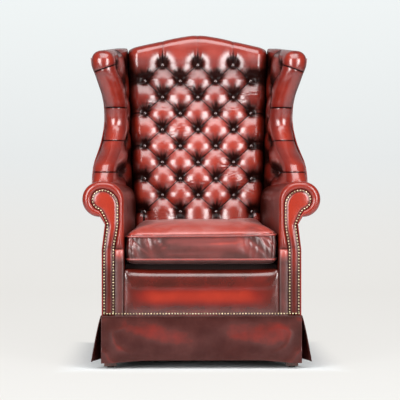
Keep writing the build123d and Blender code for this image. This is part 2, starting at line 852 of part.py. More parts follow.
def make_wings():
    """Tufted wings standing on the arms, with their timbers, covers and buttons."""
    post, rail = make_wing_timbers()
    core = nodes["right_arm_rail"]
    post = post - core
    arm_solid = along_arm(arm_outline(rail_top), facing_front - arm_lip_proud, arm_rear)
    wing = ruled([wing_section(*row) for row in wing_rows()])
    wing = wing - arm_solid - back_zone() - pad_zone() - nodes["crest_roll"] - post - rail
    cutters = []
    buttons = []
    for place, normal in wing_button_places():
        seat = place - normal * wing_dimple_depth
        plane = Plane(origin=seat, x_dir=(0, 0, 1), z_dir=normal)
        tool = ruled([octagon(dimple_floor_radius, 0),
                      octagon(wing_dimple_radius, wing_dimple_depth + button_rise)])
        cutters.append(tool.moved(plane.location))
        buttons.append(button_body().moved(plane.location))
    wing = wing.cut(*cutters)
    keep_pair("wing_pad", wing)
    keep_pair("wing_buttons", Compound(children=buttons))
    keep_pair("wing_post", post)
    keep_pair("wing_top_rail", rail - nodes["crest_roll"])
    keep_pair("arm_pad", arm_pad() - post)
    make_outside_wings(arm_solid)


def make_outside_wings(arm_solid):
    """Outside wing covers from the roll to the back posts."""
    wires = []
    for share, draw, inset in wing_rows():
        if share > wing_full_share:
            continue
        x, y, radius, rear_outer, rear, z = wing_frame(share)
        start = Vector(x, y + radius, 0)
        end = Vector(rear_outer, rear + overrun, 0)
        direction = (end - start).normalized()
        normal = Vector(direction.Y, -direction.X, 0)
        corners = []
        outer = timber_gap + cover_thickness
        for point, out in ((start, timber_gap), (end, timber_gap), (end, outer), (start, outer)):
            spot = point + normal * out
            corners.append(lifted(share, spot.X, spot.Y, z))
        wires.append(polygon(corners))
    keep_pair("outside_wing", ruled(wires) - arm_solid - back_zone())


# Seat, border and outside back

def make_seat_support():
    """Straps across the side rails and the deck that the cushion lies on."""
    straps = []
    first = timber_front + leg_size + strap_width
    last = leg_face_y - strap_width
    for index in range(seat_strap_count):
        y = first + (last - first) * index / (seat_strap_count - 1)
        half = side_x(y + strap_width / 2) - strap_thickness
        straps.append(block(-half, half, y - strap_width / 2, y + strap_width / 2, rail_top,
                            rail_top + strap_thickness))
    keep("seat_webbing", Compound(children=straps))
    y0 = timber_front + border_shoulder + soft_gap
    y1 = leg_face_y - soft_gap
    z0 = rail_top + strap_thickness
    near = seat_half + drift * (y0 - facing_front) - soft_gap
    far = seat_half + drift * (y1 - facing_front) - soft_gap
    corners = [(-near, y0, z0), (near, y0, z0), (far, y1, z0), (-far, y1, z0)]
    keep("seat_deck", prism(polygon(corners), (0, 0, deck_height - z0)))


def make_back_webbing():
    """Straps across the posts, which carry the inside back."""
    straps = []
    for share in back_strap_shares:
        v = share * (crest_rise(post_outer) - crest_roll_height)
        strap = block(-post_outer, post_outer, v, v + strap_width, -strap_thickness, 0)
        straps.append(strap.moved(back_plane.location))
    keep("back_webbing", Compound(children=straps))


def make_front_border():
    """Padded border wrapped over the front rail."""
    x = -seat_half + soft_gap
    front = facing_front
    rear = timber_front
    top = border_height
    shoulder = top - border_round
    round_y = front + border_round
    clear = skirt_height + 2 * welt_radius
    points = [
        (x, front, cover_bottom),
        (x, front, clear),
        ((x, front - border_bulge, (clear + shoulder) / 2), (x, front, shoulder)),
        ((x, round_y - border_round * diagonal_share, shoulder + border_round * diagonal_share),
         (x, round_y, top)),
        (x, rear + border_shoulder, top),
        (x, rear + border_shoulder, rail_top + strap_thickness),
        (x, rear, rail_top + strap_thickness),
    ]
    wire = outline((x, rear, cover_bottom), *points)
    border = prism(wire, (-2 * x, 0, 0))
    keep("front_border", border - nodes["right_arm_pad"] - nodes["left_arm_pad"])


def make_outside_back():
    """Outside back cover, bent where the posts begin to rake."""
    inner = post_rear
    outer = post_rear - cover_thickness
    half = rear_x + cover_thickness
    top = crest_rise(0) - crest_roll_height
    kink = back_point(0, 0, inner)
    outer_kink_y = back_point(0, 0, outer)[1]
    side = [
        (-half, leg_rear_y, cover_bottom),
        (-half, kink[1], kink[2]),
        back_point(-half, top, inner),
        back_point(-half, top, outer),
        back_point(-half, 0, outer),
        (-half, outer_kink_y, cover_bottom),
    ]
    sheet = prism(polygon(side), (2 * half, 0, 0))
    wing_top = crest_rise(post_outer) - crest_roll_height
    arch = [(x, crest_rise(x) - crest_roll_height) for x, draw in crest_stations()]
    head = wing_rear_x
    front = [(-half, -deck_height), (-head, wing_top)] + arch + [(head, wing_top), (half, -deck_height)]
    points = [(x, v, post_rear - overrun) for x, v in front]
    trim = prism(polygon(points), (0, 0, 2 * overrun)).moved(back_plane.location)
    low = block(-half, half, leg_face_y, leg_rear_y + 2 * overrun, 0, deck_height)
    keep("outside_back", sheet & (trim + low))


# Skirt, welt, glides and dust cover

def hanging_panel(top_points, hem_points, thickness):
    """A cloth panel between a straight top line and a folded hem, given as plan points."""
    wires = []
    levels = ((top_points, skirt_height), (top_points, cover_bottom), (hem_points, hem_height))
    for points, z in levels:
        back = [(x + thickness[0], y + thickness[1]) for x, y in reversed(points)]
        wires.append(polygon([(x, y, z) for x, y in points + back]))
    return ruled(wires)


def make_skirt():
    """Four hanging panels with soft folds, the side ones kicked out at the front corners."""
    half = frame_half + cover_thickness + skirt_thickness
    top_y = facing_front - skirt_thickness
    top = [(share * half, top_y) for share, fold in skirt_fold_shares]
    hem = [(share * half, front_y + fold * skirt_fold_depth) for share, fold in skirt_fold_shares]
    keep("front_skirt", hanging_panel(top, hem, (0, skirt_thickness)))
    start = facing_front + soft_gap
    end = leg_rear_y
    top = []
    hem = []
    kick = start + side_skirt_kick_length
    for share, fold in side_fold_shares:
        y = kick + (end - kick) * share
        x = side_x(y) + cover_thickness
        top.append((x, y))
        hem.append((x + fold * skirt_fold_depth, y))
    for share, out in kick_shares:
        y = start + (kick - start) * share
        x = side_x(y) + cover_thickness
        top.insert(0, (x, y))
        hem.insert(0, (x + side_skirt_kick * out, y))
    keep_pair("side_skirt", hanging_panel(top, hem, (skirt_thickness, 0)))
    rear_half = rear_x + cover_thickness
    y = leg_rear_y + cover_thickness + soft_gap
    top = [(-rear_half, y), (0, y), (rear_half, y)]
    keep("back_skirt", hanging_panel(top, top, (0, skirt_thickness)))


def make_welt():
    """Thin piping on the skirt's top edge, along the front and both sides."""
    z = skirt_height + welt_radius
    half = frame_half + cover_thickness + welt_radius + soft_gap / 2
    y = facing_front - welt_radius
    front = Solid.make_cylinder(welt_radius, 2 * half, Plane(origin=(-half, y, z), z_dir=(1, 0, 0)))
    run = leg_rear_y - facing_front
    heading = Vector(drift * run, run, 0)
    side = Solid.make_cylinder(welt_radius, heading.length,
                               Plane(origin=(half, facing_front, z), z_dir=heading.normalized()))
    keep("skirt_welt", Compound(children=[front, side, mirror(side, about=Plane.YZ)]))


def make_glides():
    """Round glides under the four legs."""
    front = timber_front + leg_size / 2
    rear = (leg_face_y + leg_rear_y) / 2
    glides = []
    for x, y in ((leg_inner + leg_size / 2, front), (post_inner + post_width / 2, rear)):
        for side in (-1, 1):
            glides.append(Solid.make_cylinder(glide_radius, glide_height, Plane(origin=(side * x, y, 0))))
    keep("glides", Compound(children=glides))


def make_dust_cover():
    """Black cloth under the seat frame, notched round the legs."""
    z = rail_bottom - dust_cover_thickness
    y0 = timber_front + strap_thickness
    y1 = leg_rear_y - strap_thickness
    near = side_x(y0) - strap_thickness
    far = side_x(y1) - strap_thickness
    corners = [(-near, y0, z), (near, y0, z), (far, y1, z), (-far, y1, z)]
    sheet = prism(polygon(corners), (0, 0, dust_cover_thickness))
    leg_edge = leg_inner - timber_gap
    leg_back = timber_front + leg_size + timber_gap
    front = block(leg_edge, frame_half, timber_front, leg_back, 0, rail_bottom)
    rear = block(post_inner - timber_gap, frame_half, leg_face_y - timber_gap, leg_rear_y, 0, rail_bottom)
    for notch in (front, rear):
        sheet = sheet - notch - mirror(notch, about=Plane.YZ)
    keep("dust_cover", sheet)


# Loose seat cushion

def cushion_half(y, inset):
    """Half width of the cushion at depth y, clear of the tapering arms."""
    return seat_half + drift * (y - facing_front) - cushion_gap - inset


def cushion_section(z, inset):
    """Plan outline of the cushion at one height, its sides drawn in between the corners."""
    front = facing_front + arm_lip_proud + inset
    rear = base_y - back_pad_thickness * upright - cushion_gap - inset
    corner = cushion_corner_radius + inset * cushion_corner_share
    near = cushion_half(front + corner, inset)
    far = cushion_half(rear, inset)
    turn = corner * (1 - diagonal_share)
    bow = cushion_draw_in
    middle_y = (front + rear) / 2
    middle_x = (near + far) / 2 - bow
    points = [
        ((0, front + bow, z), (near - corner, front, z)),
        ((near - turn, front + turn, z), (near, front + corner, z)),
        ((middle_x, middle_y, z), (far, rear - corner, z)),
        ((far - turn, rear - turn, z), (far - corner, rear, z)),
        ((0, rear - bow, z), (-far + corner, rear, z)),
        ((-far + turn, rear - turn, z), (-far, rear - corner, z)),
        ((-middle_x, middle_y, z), (-near, front + corner, z)),
        ((-near + turn, front + turn, z), (-near + corner, front, z)),
    ]
    edges = []
    here = Vector(-near + corner, front, z)
    for middle, end in points:
        edges.append(Edge.make_three_point_arc(here, Vector(*middle), Vector(*end)))
        here = Vector(*end)
    return Wire(edges)


def make_cushion():
    """Boxed cushion with piped seams, drawn-in sides and a crowned top."""
    levels = [(deck_height + soft_gap, cushion_belly_run),
              (deck_height + soft_gap + piping_rise * 2, piping_rise * cushion_belly_share)]
    for seam in (cushion_lower_seam, cushion_upper_seam):
        levels.append((seam - piping_half_height, piping_rise))
        levels.append((seam, 0))
        levels.append((seam + piping_half_height, piping_rise))
        if seam == cushion_lower_seam:
            rise = cushion_upper_seam - cushion_lower_seam
            for share in cushion_side_shares:
                levels.append((seam + rise * share, piping_rise * cushion_bow_share))
    start = cushion_upper_seam + piping_half_height
    for run, rise in cushion_crown_shares:
        levels.append((start + (cushion_top - start) * rise, piping_rise + cushion_crown_run * run))
    keep("seat_cushion", ruled([cushion_section(z, inset) for z, inset in levels]))


make_seat_frame()
make_crest_rail()
make_arm_timbers()
make_back_tacking_rail()
make_back_pad()
make_crest_roll()
make_wings()
make_arm_facings()
make_outside_arms()
make_seat_support()
make_back_webbing()
make_front_border()
make_outside_back()
make_skirt()
make_welt()
make_glides()
make_dust_cover()
make_cushion()

os.makedirs("parts", exist_ok=True)
for node_name, node_shape in nodes.items():
    export_step(node_shape, "parts/" + node_name + ".step")
whole = Compound(children=list(nodes.values())).bounding_box()
print("pieces", len(nodes), "from", whole.min, "to", whole.max)
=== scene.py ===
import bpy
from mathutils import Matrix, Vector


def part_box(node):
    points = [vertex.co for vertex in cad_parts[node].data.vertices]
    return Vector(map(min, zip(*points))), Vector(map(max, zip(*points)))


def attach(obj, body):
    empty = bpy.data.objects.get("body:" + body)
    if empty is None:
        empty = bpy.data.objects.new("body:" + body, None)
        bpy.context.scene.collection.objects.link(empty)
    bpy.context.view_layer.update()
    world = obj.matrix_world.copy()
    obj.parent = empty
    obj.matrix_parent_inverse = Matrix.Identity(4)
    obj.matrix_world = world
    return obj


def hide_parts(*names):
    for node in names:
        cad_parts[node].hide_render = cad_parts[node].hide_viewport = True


bl_info = {
    "name": "Buttoned wing armchair",
    "version": (1, 0, 0),
    "blender": (4, 5, 0),
    "location": "3D View > Sidebar > Armchair",
    "description": "Leather covers, trim and studio around the packed frame of a wing armchair",
    "category": "Object",
}

import math
from dataclasses import dataclass

import bmesh
import bpy
from mathutils import Vector, noise

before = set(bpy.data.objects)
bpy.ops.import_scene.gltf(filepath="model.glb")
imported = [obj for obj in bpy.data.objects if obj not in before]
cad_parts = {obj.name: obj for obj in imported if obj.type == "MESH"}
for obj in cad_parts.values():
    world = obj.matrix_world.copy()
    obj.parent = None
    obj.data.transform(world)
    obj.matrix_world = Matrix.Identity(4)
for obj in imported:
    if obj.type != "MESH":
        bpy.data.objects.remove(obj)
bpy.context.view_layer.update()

MM = 0.001

# A place of the pleats' map that lies on no pleat
PLAIN = (0.25, 0.25)

# The body that carries everything but the loose cushion
CHAIR = "chair"

# Places that the leather shares with the frame, in metres
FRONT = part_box("right_arm_facing")[0].y
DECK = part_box("seat_deck")[1].z
ARM_TOP = 612 * MM
BACK_FOOT = 203.5 * MM
POST_REAR = -52 * MM
SIDE_DRIFT = -22 / 524
CREST_HEIGHT = 1165 * MM

# Height shares between the arm's top and the wing's top
WING_SPREAD_SHARES = [(-0.1, 0.72), (0.0, 0.7), (0.13, 0.62), (0.2, 0.46), (0.29, 0.24), (0.43, 0.04),
                      (0.52, 0.0), (0.62, 0.06), (0.72, 0.33), (0.8, 0.63), (0.87, 0.9), (1.0, 1.0)]
WING_REACH_SHARES = [(-0.1, 1.0), (0.0, 1.0), (0.13, 0.85), (0.2, 0.65), (0.29, 0.35), (0.43, 0.04),
                     (0.52, 0.0), (0.64, 0.11), (0.72, 0.23), (0.8, 0.35), (0.87, 0.41), (1.0, 0.43)]
WING_PLEAT_SHARES = [-0.17, 0.08, 0.338, 0.598, 0.868, 1.13]
CROWN_SHARES = [(0.0, 0.06), (0.03, 0.2), (0.1, 0.37), (0.21, 0.56), (0.37, 0.74), (0.6, 0.9), (0.85, 0.98),
                (1.0, 1.0), (1.6, 1.0)]


# Sizes and colours

def length_property(name, description, millimetres):
    """A length that a user can set."""
    return bpy.props.FloatProperty(
        name=name, description=description, default=millimetres * MM, unit="LENGTH")


class ArmchairSizes(bpy.types.PropertyGroup):
    recline: bpy.props.FloatProperty(
        name="Recline", description="Slope of the inside back", default=math.radians(9.6), subtype="ANGLE")
    button_pitch: length_property("Button pitch", "Distance between buttons in a row", 132)
    row_pitch: length_property("Row pitch", "Distance between rows of buttons", 61.8)
    top_row: length_property("Top row", "Top row of buttons, up the slope from the deck", 718.4)
    rows: bpy.props.IntProperty(name="Rows", description="Rows of buttons in the back", default=10)
    crown: length_property("Crown", "Thickness of the back at the middle of a diamond", 73)
    seam_drop: length_property("Seam drop", "How far the pleats lie under the crowns", 13)
    button_drop: length_property("Button drop", "How far the buttons pull in under the pleats", 11)
    button_radius: length_property("Button radius", "Radius of a covered button", 6.6)
    nail_pitch: length_property("Nail pitch", "Distance between the nails", 9.7)
    nail_radius: length_property("Nail radius", "Radius of a nail's head", 2.7)
    piping_radius: length_property("Piping radius", "Radius of the cushion's piping", 3.2)
    welt_radius: length_property("Welt radius", "Radius of the skirt's welt", 1.9)
    cushion_top: length_property("Cushion crown", "Height of the cushion's crown", 484)
    hem_height: length_property("Hem height", "Height of the skirt's hem above the floor", 28)


def colour_property(name, description, code):
    """A colour that a user can set, given as a hex code."""
    return bpy.props.FloatVectorProperty(
        name=name, description=description, default=linear(code)[:3], subtype="COLOR", min=0, max=1)


def linear(code):
    """A hex code in sRGB as linear red, green, blue and alpha."""
    channels = [int(code[index:index + 2], 16) / 255 for index in (1, 3, 5)]
    return tuple(c / 12.92 if c <= 0.04045 else ((c + 0.055) / 1.055) ** 2.4 for c in channels) + (1.0,)


class ArmchairColours(bpy.types.PropertyGroup):
    # The ramp from dye to scarlet also carries painted shade: folds, hollows, gaps and undersides lean to dye
    dye: colour_property("Antique dye", "Dark dye left in the folds", "#1E0705")
    umber: colour_property("Umber", "Brown where the dye is half rubbed off", "#40120B")
    oxblood: colour_property("Oxblood", "The hide's own red", "#6C150A")
    scarlet: colour_property("Scarlet", "Red of the crowns, where hands rub", "#902715")
    brass: colour_property("Aged brass", "Heads of the nails", "#CDBF9C")
    mahogany: colour_property("Mahogany stain", "Stain of the feet", "#5A2A1A")
    beech: colour_property("Beech", "Bare timber of the frame", "#CDA878")


# Small helpers

def sizes():
    """The chair's sizes."""
    return bpy.context.scene.armchair_sizes


def colours():
    """The chair's colours, each as red, green, blue and alpha."""
    group = bpy.context.scene.armchair_colours
    return {name: tuple(getattr(group, name)) + (1.0,) for name in ArmchairColours.__annotations__}


def clamp(value, low=0.0, high=1.0):
    """Value held between two limits."""
    return min(max(value, low), high)


def smooth(value, low=0.0, high=1.0):
    """A soft step from 0 at low to 1 at high."""
    t = clamp((value - low) / (high - low))
    return t * t * (3 - 2 * t)


def mix(a, b, share):
    """A value between two others."""
    return a + (b - a) * share


def read_shares(table, place):
    """A smooth value read from a table of (place, value) shares."""
    place = clamp(place, table[0][0], table[-1][0])
    last = len(table) - 1
    for index in range(last):
        start, end = table[index], table[index + 1]
        if place <= end[0]:
            before, after = table[max(index - 1, 0)], table[min(index + 2, last)]
            rise_in = (end[1] - before[1]) / (end[0] - before[0])
            rise_out = (after[1] - start[1]) / (after[0] - start[0])
            run = end[0] - start[0]
            t = (place - start[0]) / run
            value = start[1] * (1 + 2 * t) * (1 - t) ** 2 + end[1] * t * t * (3 - 2 * t)
            return value + run * (rise_in * t * (1 - t) ** 2 - rise_out * t * t * (1 - t))


def wander(x, y, z):
    """Smooth noise between -1 and 1."""
    return noise.noise(Vector((x, y, z)))


def folds(x, y, z):
    """Soft folds between 0 and 1, with thin creases near 1."""
    return (1 - abs(wander(x, y, z))) ** 3


def back_point(x, v, w):
    """A place of the reclined back: v up the slope, w out towards the sitter."""
    lean, upright = math.sin(sizes().recline), math.cos(sizes().recline)
    return Vector((x, BACK_FOOT + v * lean - w * upright, DECK + v * upright + w * lean))


def crest_rise(x):
    """Height up the slope of the crest at x."""
    drop = 0.24 * (math.hypot(x, 50 * MM) - 50 * MM)
    return (CREST_HEIGHT - drop - DECK + 6 * MM) / math.cos(sizes().recline)


def back_half(v):
    """Half width of the inside back at v up the slope."""
    return mix(228.6 * MM, 266 * MM, v / (836.7 * MM))


def rear_y(z):
    """Depth of the back posts' rear face at height z."""
    upright = math.cos(sizes().recline)
    return back_point(0, (z - DECK) / upright, POST_REAR)[1]


# Materials

def add_node(tree, kind, values):
    """Add a node; values are its own settings, and its inputs as constants or as sockets to link."""
    node = tree.nodes.new("ShaderNode" + kind)
    for key, value in values.items():
        if isinstance(value, bpy.types.NodeSocket):
            tree.links.new(value, node.inputs[key])
        elif isinstance(key, str) and hasattr(node, key):
            setattr(node, key, value)
        else:
            node.inputs[key].default_value = value
    return node


def calc(tree, operation, *terms, clamped=False):
    """A Math node over numbers and sockets."""
    return add_node(tree, "Math", {"operation": operation, "use_clamp": clamped,
                                   **dict(enumerate(terms))}).outputs[0]


def vector_calc(tree, operation, *terms, output=0):
    """A Vector Math node over vectors and sockets."""
    return add_node(tree, "VectorMath", {"operation": operation, **dict(enumerate(terms))}).outputs[output]


def remap(tree, value, start, end, low=0.0, high=1.0, curve="LINEAR"):
    """The range from start to end, spread over the range from low to high."""
    return add_node(tree, "MapRange", {"Value": value, "From Min": start, "From Max": end, "To Min": low,
                                       "To Max": high, "interpolation_type": curve}).outputs["Result"]


def cloud(tree, place, size, **settings):
    """Noise with spots of about one size."""
    return add_node(tree, "TexNoise", {"Vector": place, "Scale": 1 / size, **settings}).outputs["Fac"]


def relief(tree, height, strength, depth, normal=None, invert=False):
    """A bump of some depth, laid over another one if it is given."""
    values = {"Height": height, "Strength": strength, "Distance": depth, "invert": invert}
    if normal is not None:
        values["Normal"] = normal
    return add_node(tree, "Bump", values).outputs["Normal"]


def object_place(tree):
    """The place on the object, in metres."""
    return add_node(tree, "TexCoord", {}).outputs["Object"]


def point_value(tree, name):
    """A value that the piece's points carry."""
    return add_node(tree, "Attribute", {"attribute_name": name}).outputs["Fac"]


def new_material(name):
    """An empty material and its nodes."""
    material = bpy.data.materials.new(name)
    material.use_nodes = True
    material.node_tree.nodes.clear()
    return material, material.node_tree


def show(tree, kind, values):
    """Add the surface's shader and its output."""
    shader = add_node(tree, kind, values)
    add_node(tree, "OutputMaterial", {"Surface": shader.outputs[0]})


def ramp(tree, factor, stops):
    """A colour ramp from (place, colour) stops."""
    node = add_node(tree, "ValToRGB", {"Fac": factor})
    elements = node.color_ramp.elements
    elements[0].position, elements[0].color = stops[0]
    elements[1].position, elements[1].color = stops[-1]
    for place, colour in stops[1:-1]:
        elements.new(place).color = colour
    return node.outputs["Color"]


def antiqued_hide(name, tones, blotch=0.3, roughness=0.3, coat=1.0, blur=0.24, crease=0.0, bloom=0.0,
                  worn=0.0, pleats=False):
    """Glazed hide, dyed dark by hand and rubbed back on its crowns, with painted shade in its hollows; tones
    run from folds to crowns.
    """
    material, tree = new_material(name)
    place = object_place(tree)
    patches = cloud(tree, place, 45 * MM, Detail=4.0, Roughness=0.6)
    shift = calc(tree, "MULTIPLY_ADD", patches, blotch, worn - blotch / 2)
    # The points' rub carries painted shade in hollows, gaps and undersides as well as dye rubbed off the
    # crowns
    tone = calc(tree, "ADD", point_value(tree, "rub"), shift, clamped=True)
    if pleats:
        rays = radiating(tree)
        # The fine folds round each button darken the tone, as dye in the folds and painted shade
        tone = calc(tree, "MULTIPLY_ADD", rays, -1.3, tone, clamped=True)
    colour = ramp(tree, tone, tones)
    pores = add_node(tree, "TexVoronoi", {"Vector": place, "Scale": 1 / (1.4 * MM), "Randomness": 1.0})
    normal = relief(tree, pores.outputs["Distance"], 0.22, 0.25 * MM)
    rumple = cloud(tree, place, 16 * MM, Detail=5.0, Roughness=0.62)
    normal = relief(tree, rumple, 0.35 + crease, 1.6 * MM, normal)
    if pleats:
        normal = relief(tree, rays, 0.8, 3.0 * MM, normal, invert=True)
        line = pleat_lines(tree)
        # Each pleat's crease is painted near-black, as dye pooled in the fold and painted shade
        colour = add_node(tree, "Mix", {"data_type": "RGBA", 0: line, 6: colour, 7: linear("#120303")})
        colour = colour.outputs[2]
        normal = relief(tree, line, 0.2, 1.0 * MM, normal, invert=True)
        tone = calc(tree, "SUBTRACT", tone, line, clamped=True)
    show(tree, "BsdfPrincipled", {
        "Base Color": colour, "Normal": normal, "IOR": 1.5, "Coat IOR": 1.7, "Coat Roughness": blur,
        "Sheen Weight": bloom, "Sheen Roughness": 0.4,
        "Roughness": remap(tree, tone, 0.0, 1.0, roughness + 0.1, roughness - 0.04),
        "Coat Weight": remap(tree, tone, 0.0, 0.6, 0.1 * coat, coat),
        "Specular IOR Level": remap(tree, tone, 0.0, 0.6, 0.04, 0.22)})
    return material


def radiating(tree):
    """Fine folds that run out from every button, whose places are whole numbers of the piece's map."""
    chart = add_node(tree, "UVMap", {}).outputs["UV"]
    cell = vector_calc(tree, "FLOOR", vector_calc(tree, "ADD", chart, (0.5, 0.5, 0.0)))
    away = vector_calc(tree, "SUBTRACT", chart, cell)
    heading = vector_calc(tree, "NORMALIZE", away)
    circle = vector_calc(tree, "MULTIPLY_ADD", heading, (3.4, 3.4, 0.0), cell)
    up = vector_calc(tree, "DOT_PRODUCT", heading, (0.707, -0.707, 0.0), output="Value")
    span = remap(tree, up, -0.2, 1.0, 0.24, 0.6)
    near = remap(tree, vector_calc(tree, "LENGTH", away, output="Value"), 0.03, span, 1.0, 0.0)
    mask = calc(tree, "MULTIPLY", near, remap(tree, point_value(tree, "fold"), 0.5, 1.0))
    lines = cloud(tree, circle, 1.0, Detail=3.0, Roughness=0.7)
    return calc(tree, "MULTIPLY", mask, remap(tree, lines, 0.36, 0.64))


def pleat_lines(tree):
    """Thin lines along the whole numbers of the piece's own map, where the pleats are."""
    across = add_node(tree, "SeparateXYZ", {0: add_node(tree, "UVMap", {}).outputs["UV"]})
    gaps = [calc(tree, "PINGPONG", across.outputs[axis], 0.5) for axis in ("X", "Y")]
    line = remap(tree, calc(tree, "MINIMUM", *gaps), 0.008, 0.028, 1.0, 0.0, "SMOOTHSTEP")
    return calc(tree, "MULTIPLY", line, remap(tree, point_value(tree, "fold"), 0.0, 0.5))


def aged_brass(name):
    """Cast heads, browned in random patches and brighter between them."""
    material, tree = new_material(name)
    spots = cloud(tree, object_place(tree), 6 * MM, Detail=3.0)
    colour = ramp(tree, spots, [(0.3, linear("#75664B")), (0.62, colours()["brass"])])
    show(tree, "BsdfPrincipled", {"Base Color": colour, "Metallic": 1.0, "Roughness": 0.3})
    return material


def timber(name, light, dark, roughness, coat):
    """Sawn wood, with its grain drawn out upright."""
    material, tree = new_material(name)
    along = add_node(tree, "Mapping", {"Vector": object_place(tree), "Scale": (1.0, 1.0, 0.08)})
    grain = cloud(tree, along.outputs["Vector"], 4 * MM, Detail=6.0, Distortion=0.6)
    show(tree, "BsdfPrincipled", {
        "Base Color": ramp(tree, grain, [(0.3, linear(dark)), (0.7, light)]),
        "Normal": relief(tree, grain, 0.2, 0.3 * MM), "Roughness": roughness, "Coat Weight": coat})
    return material


def woven(name, warp, weft, pitch):
    """Plain weave whose threads cross at the pitch."""
    material, tree = new_material(name)
    place = object_place(tree)
    waves = [add_node(tree, "TexWave", {"Vector": place, "bands_direction": direction, "Distortion": 0.6,
                                        "Scale": 1 / (20 * pitch), "Detail": 1.0}).outputs["Fac"]
             for direction in ("X", "Y")]
    weave = calc(tree, "MULTIPLY", *waves)
    show(tree, "BsdfPrincipled", {
        "Base Color": ramp(tree, weave, [(0.1, linear(weft)), (0.8, linear(warp))]),
        "Normal": relief(tree, weave, 0.5, 0.4 * MM), "Roughness": 0.9})
    return material


def moulded(name, code):
    """Moulded nylon, matt from its tool."""
    material, tree = new_material(name)
    grit = cloud(tree, object_place(tree), 1.5 * MM)
    show(tree, "BsdfPrincipled", {"Base Color": linear(code), "Roughness": 0.55,
                                  "Normal": relief(tree, grit, 0.1, 0.1 * MM)})
    return material


def hide_tones(*places, crown=None):
    """The hide's four colours at their places between fold and crown, and a paler one on the crown that
    paints light from above.
    """
    tones = [(place, colours()[name]) for place, name in zip(places, ("dye", "umber", "oxblood", "scarlet"))]
    return tones + [(1.0, linear(crown))] if crown else tones


def finish(name):
    """The material of that name, made when it is first asked for."""
    if name in bpy.data.materials:
        return bpy.data.materials[name]
    hides = {
        # Deep folds, darkened with dye and painted shade, and bright crowns give the eye the diamonds of the
        # buttoning
        "tufted_hide": (hide_tones(0.0, 0.28, 0.62, 0.95), {"pleats": True}),
        # Small, dark and very glossy, so that each button catches one spark
        "button_hide": (hide_tones(0.1, 0.97, 0.98, 1.0), {"blotch": 0.0, "roughness": 0.15, "blur": 0.06}),
        # Even and duller, for the plain panels round the outside
        "outside_hide": (hide_tones(0.0, 0.2, 0.5, 0.95), {"blotch": 0.5, "coat": 0.4, "worn": 0.5}),
        # Soft clouds of scarlet where the arms and facings are handled
        "arm_hide": (hide_tones(0.0, 0.24, 0.6, 0.96), {"blotch": 0.34, "coat": 0.55}),
        # Dark ends and a glossy shoulder round a scarlet middle
        "border_hide": (hide_tones(0.2, 0.46, 0.7, 0.98),
                        {"blotch": 0.24, "roughness": 0.22, "blur": 0.18}),
        # Creased, with a broad, dusty-looking sheen; its paler top is painted light from above
        "seat_hide": (hide_tones(0.0, 0.34, 0.7, 0.84, crown="#9E5650"),
                      {"blotch": 0.34, "roughness": 0.36, "blur": 0.38, "crease": 0.3, "bloom": 0.08}),
        # Brown and nearly matt, with faint red clouds
        "skirt_hide": (hide_tones(0.0, 0.6, 0.97, 1.0),
                       {"blotch": 0.6, "roughness": 0.36, "coat": 0.3, "crease": 0.3}),
    }
    if name in hides:
        tones, options = hides[name]
        return antiqued_hide(name, tones, **options)
    makers = {
        "aged_brass": lambda: aged_brass(name),
        "stained_mahogany": lambda: timber(name, colours()["mahogany"], "#2E120A", 0.35, 0.4),
        "sawn_beech": lambda: timber(name, colours()["beech"], "#A9814F", 0.7, 0.0),
        "jute_webbing": lambda: woven(name, "#9A8560", "#5E4A30", 1.6 * MM),
        "black_cambric": lambda: woven(name, "#1A1A1A", "#080808", 0.8 * MM),
        "platform_cloth": lambda: woven(name, "#2C1512", "#160907", 0.9 * MM),
        "moulded_nylon": lambda: moulded(name, "#1C1410"),
    }
    return makers[name]()


# Building pieces

def add_piece(name, mesh, material, slot, replaced=(), body=CHAIR, fill=None, flat_caps=True):
    """Make an object of a bmesh, dress it and let it ride on its body."""
    bmesh.ops.recalc_face_normals(mesh, faces=mesh.faces)
    if mesh.calc_volume(signed=True) < 0:
        bmesh.ops.reverse_faces(mesh, faces=mesh.faces)
    for face in mesh.faces:
        face.smooth = len(face.verts) <= 4 or not flat_caps
    data = bpy.data.meshes.new(name)
    mesh.to_mesh(data)
    mesh.free()
    data.materials.append(finish(material))
    piece = bpy.data.objects.new(name, data)
    bpy.context.scene.collection.objects.link(piece)
    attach(piece, body)
    if replaced:
        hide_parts(*replaced)
    return piece


def surface(columns, rows, place, loop=False, mesh=None, closed=True):
    """A closed skin over a grid: place gives each point its spot and its rub with painted shade, and its map
    and fold if pleated.
    """
    mesh = mesh or bmesh.new()
    rub = mesh.verts.layers.float.get("rub") or mesh.verts.layers.float.new("rub")
    fold = mesh.verts.layers.float.get("fold") or mesh.verts.layers.float.new("fold")
    chart = mesh.loops.layers.uv.get("UVMap") or mesh.loops.layers.uv.new("UVMap")
    made = bmesh.ops.create_grid(mesh, x_segments=columns, y_segments=rows, size=1)["verts"]
    charts = {}
    sides = ([], [])
    for vert in made:
        column = round((vert.co.x + 1) / 2 * columns)
        row = round((vert.co.y + 1) / 2 * rows)
        spot, amount, *at = place(column, row)
        vert.co = spot
        vert[rub] = clamp(amount)
        charts[vert], vert[fold] = at or (PLAIN, 0.0)
        if column in (0, columns):
            sides[column == columns].append((row, vert))
    for face in {face for vert in made for face in vert.link_faces}:
        for corner in face.loops:
            corner[chart].uv = charts[corner.vert]
    if loop:
        bmesh.ops.remove_doubles(mesh, verts=made, dist=1e-6)
    elif closed:
        edges = []
        for side in sides:
            verts = [vert for row, vert in sorted(side, key=lambda item: item[0])]
            edges += [mesh.edges.get(pair) for pair in zip(verts[:-1], verts[1:])]
        bmesh.ops.bridge_loops(mesh, edges=edges)
    if closed:
        open_edges = [edge for edge in mesh.edges if edge.is_boundary]
        bmesh.ops.holes_fill(mesh, edges=open_edges, sides=0)
    return mesh


def mirrored(mesh):
    """The left-hand copy of a right-hand mesh."""
    copy = mesh.copy()
    for vert in copy.verts:
        vert.co.x = -vert.co.x
    return copy


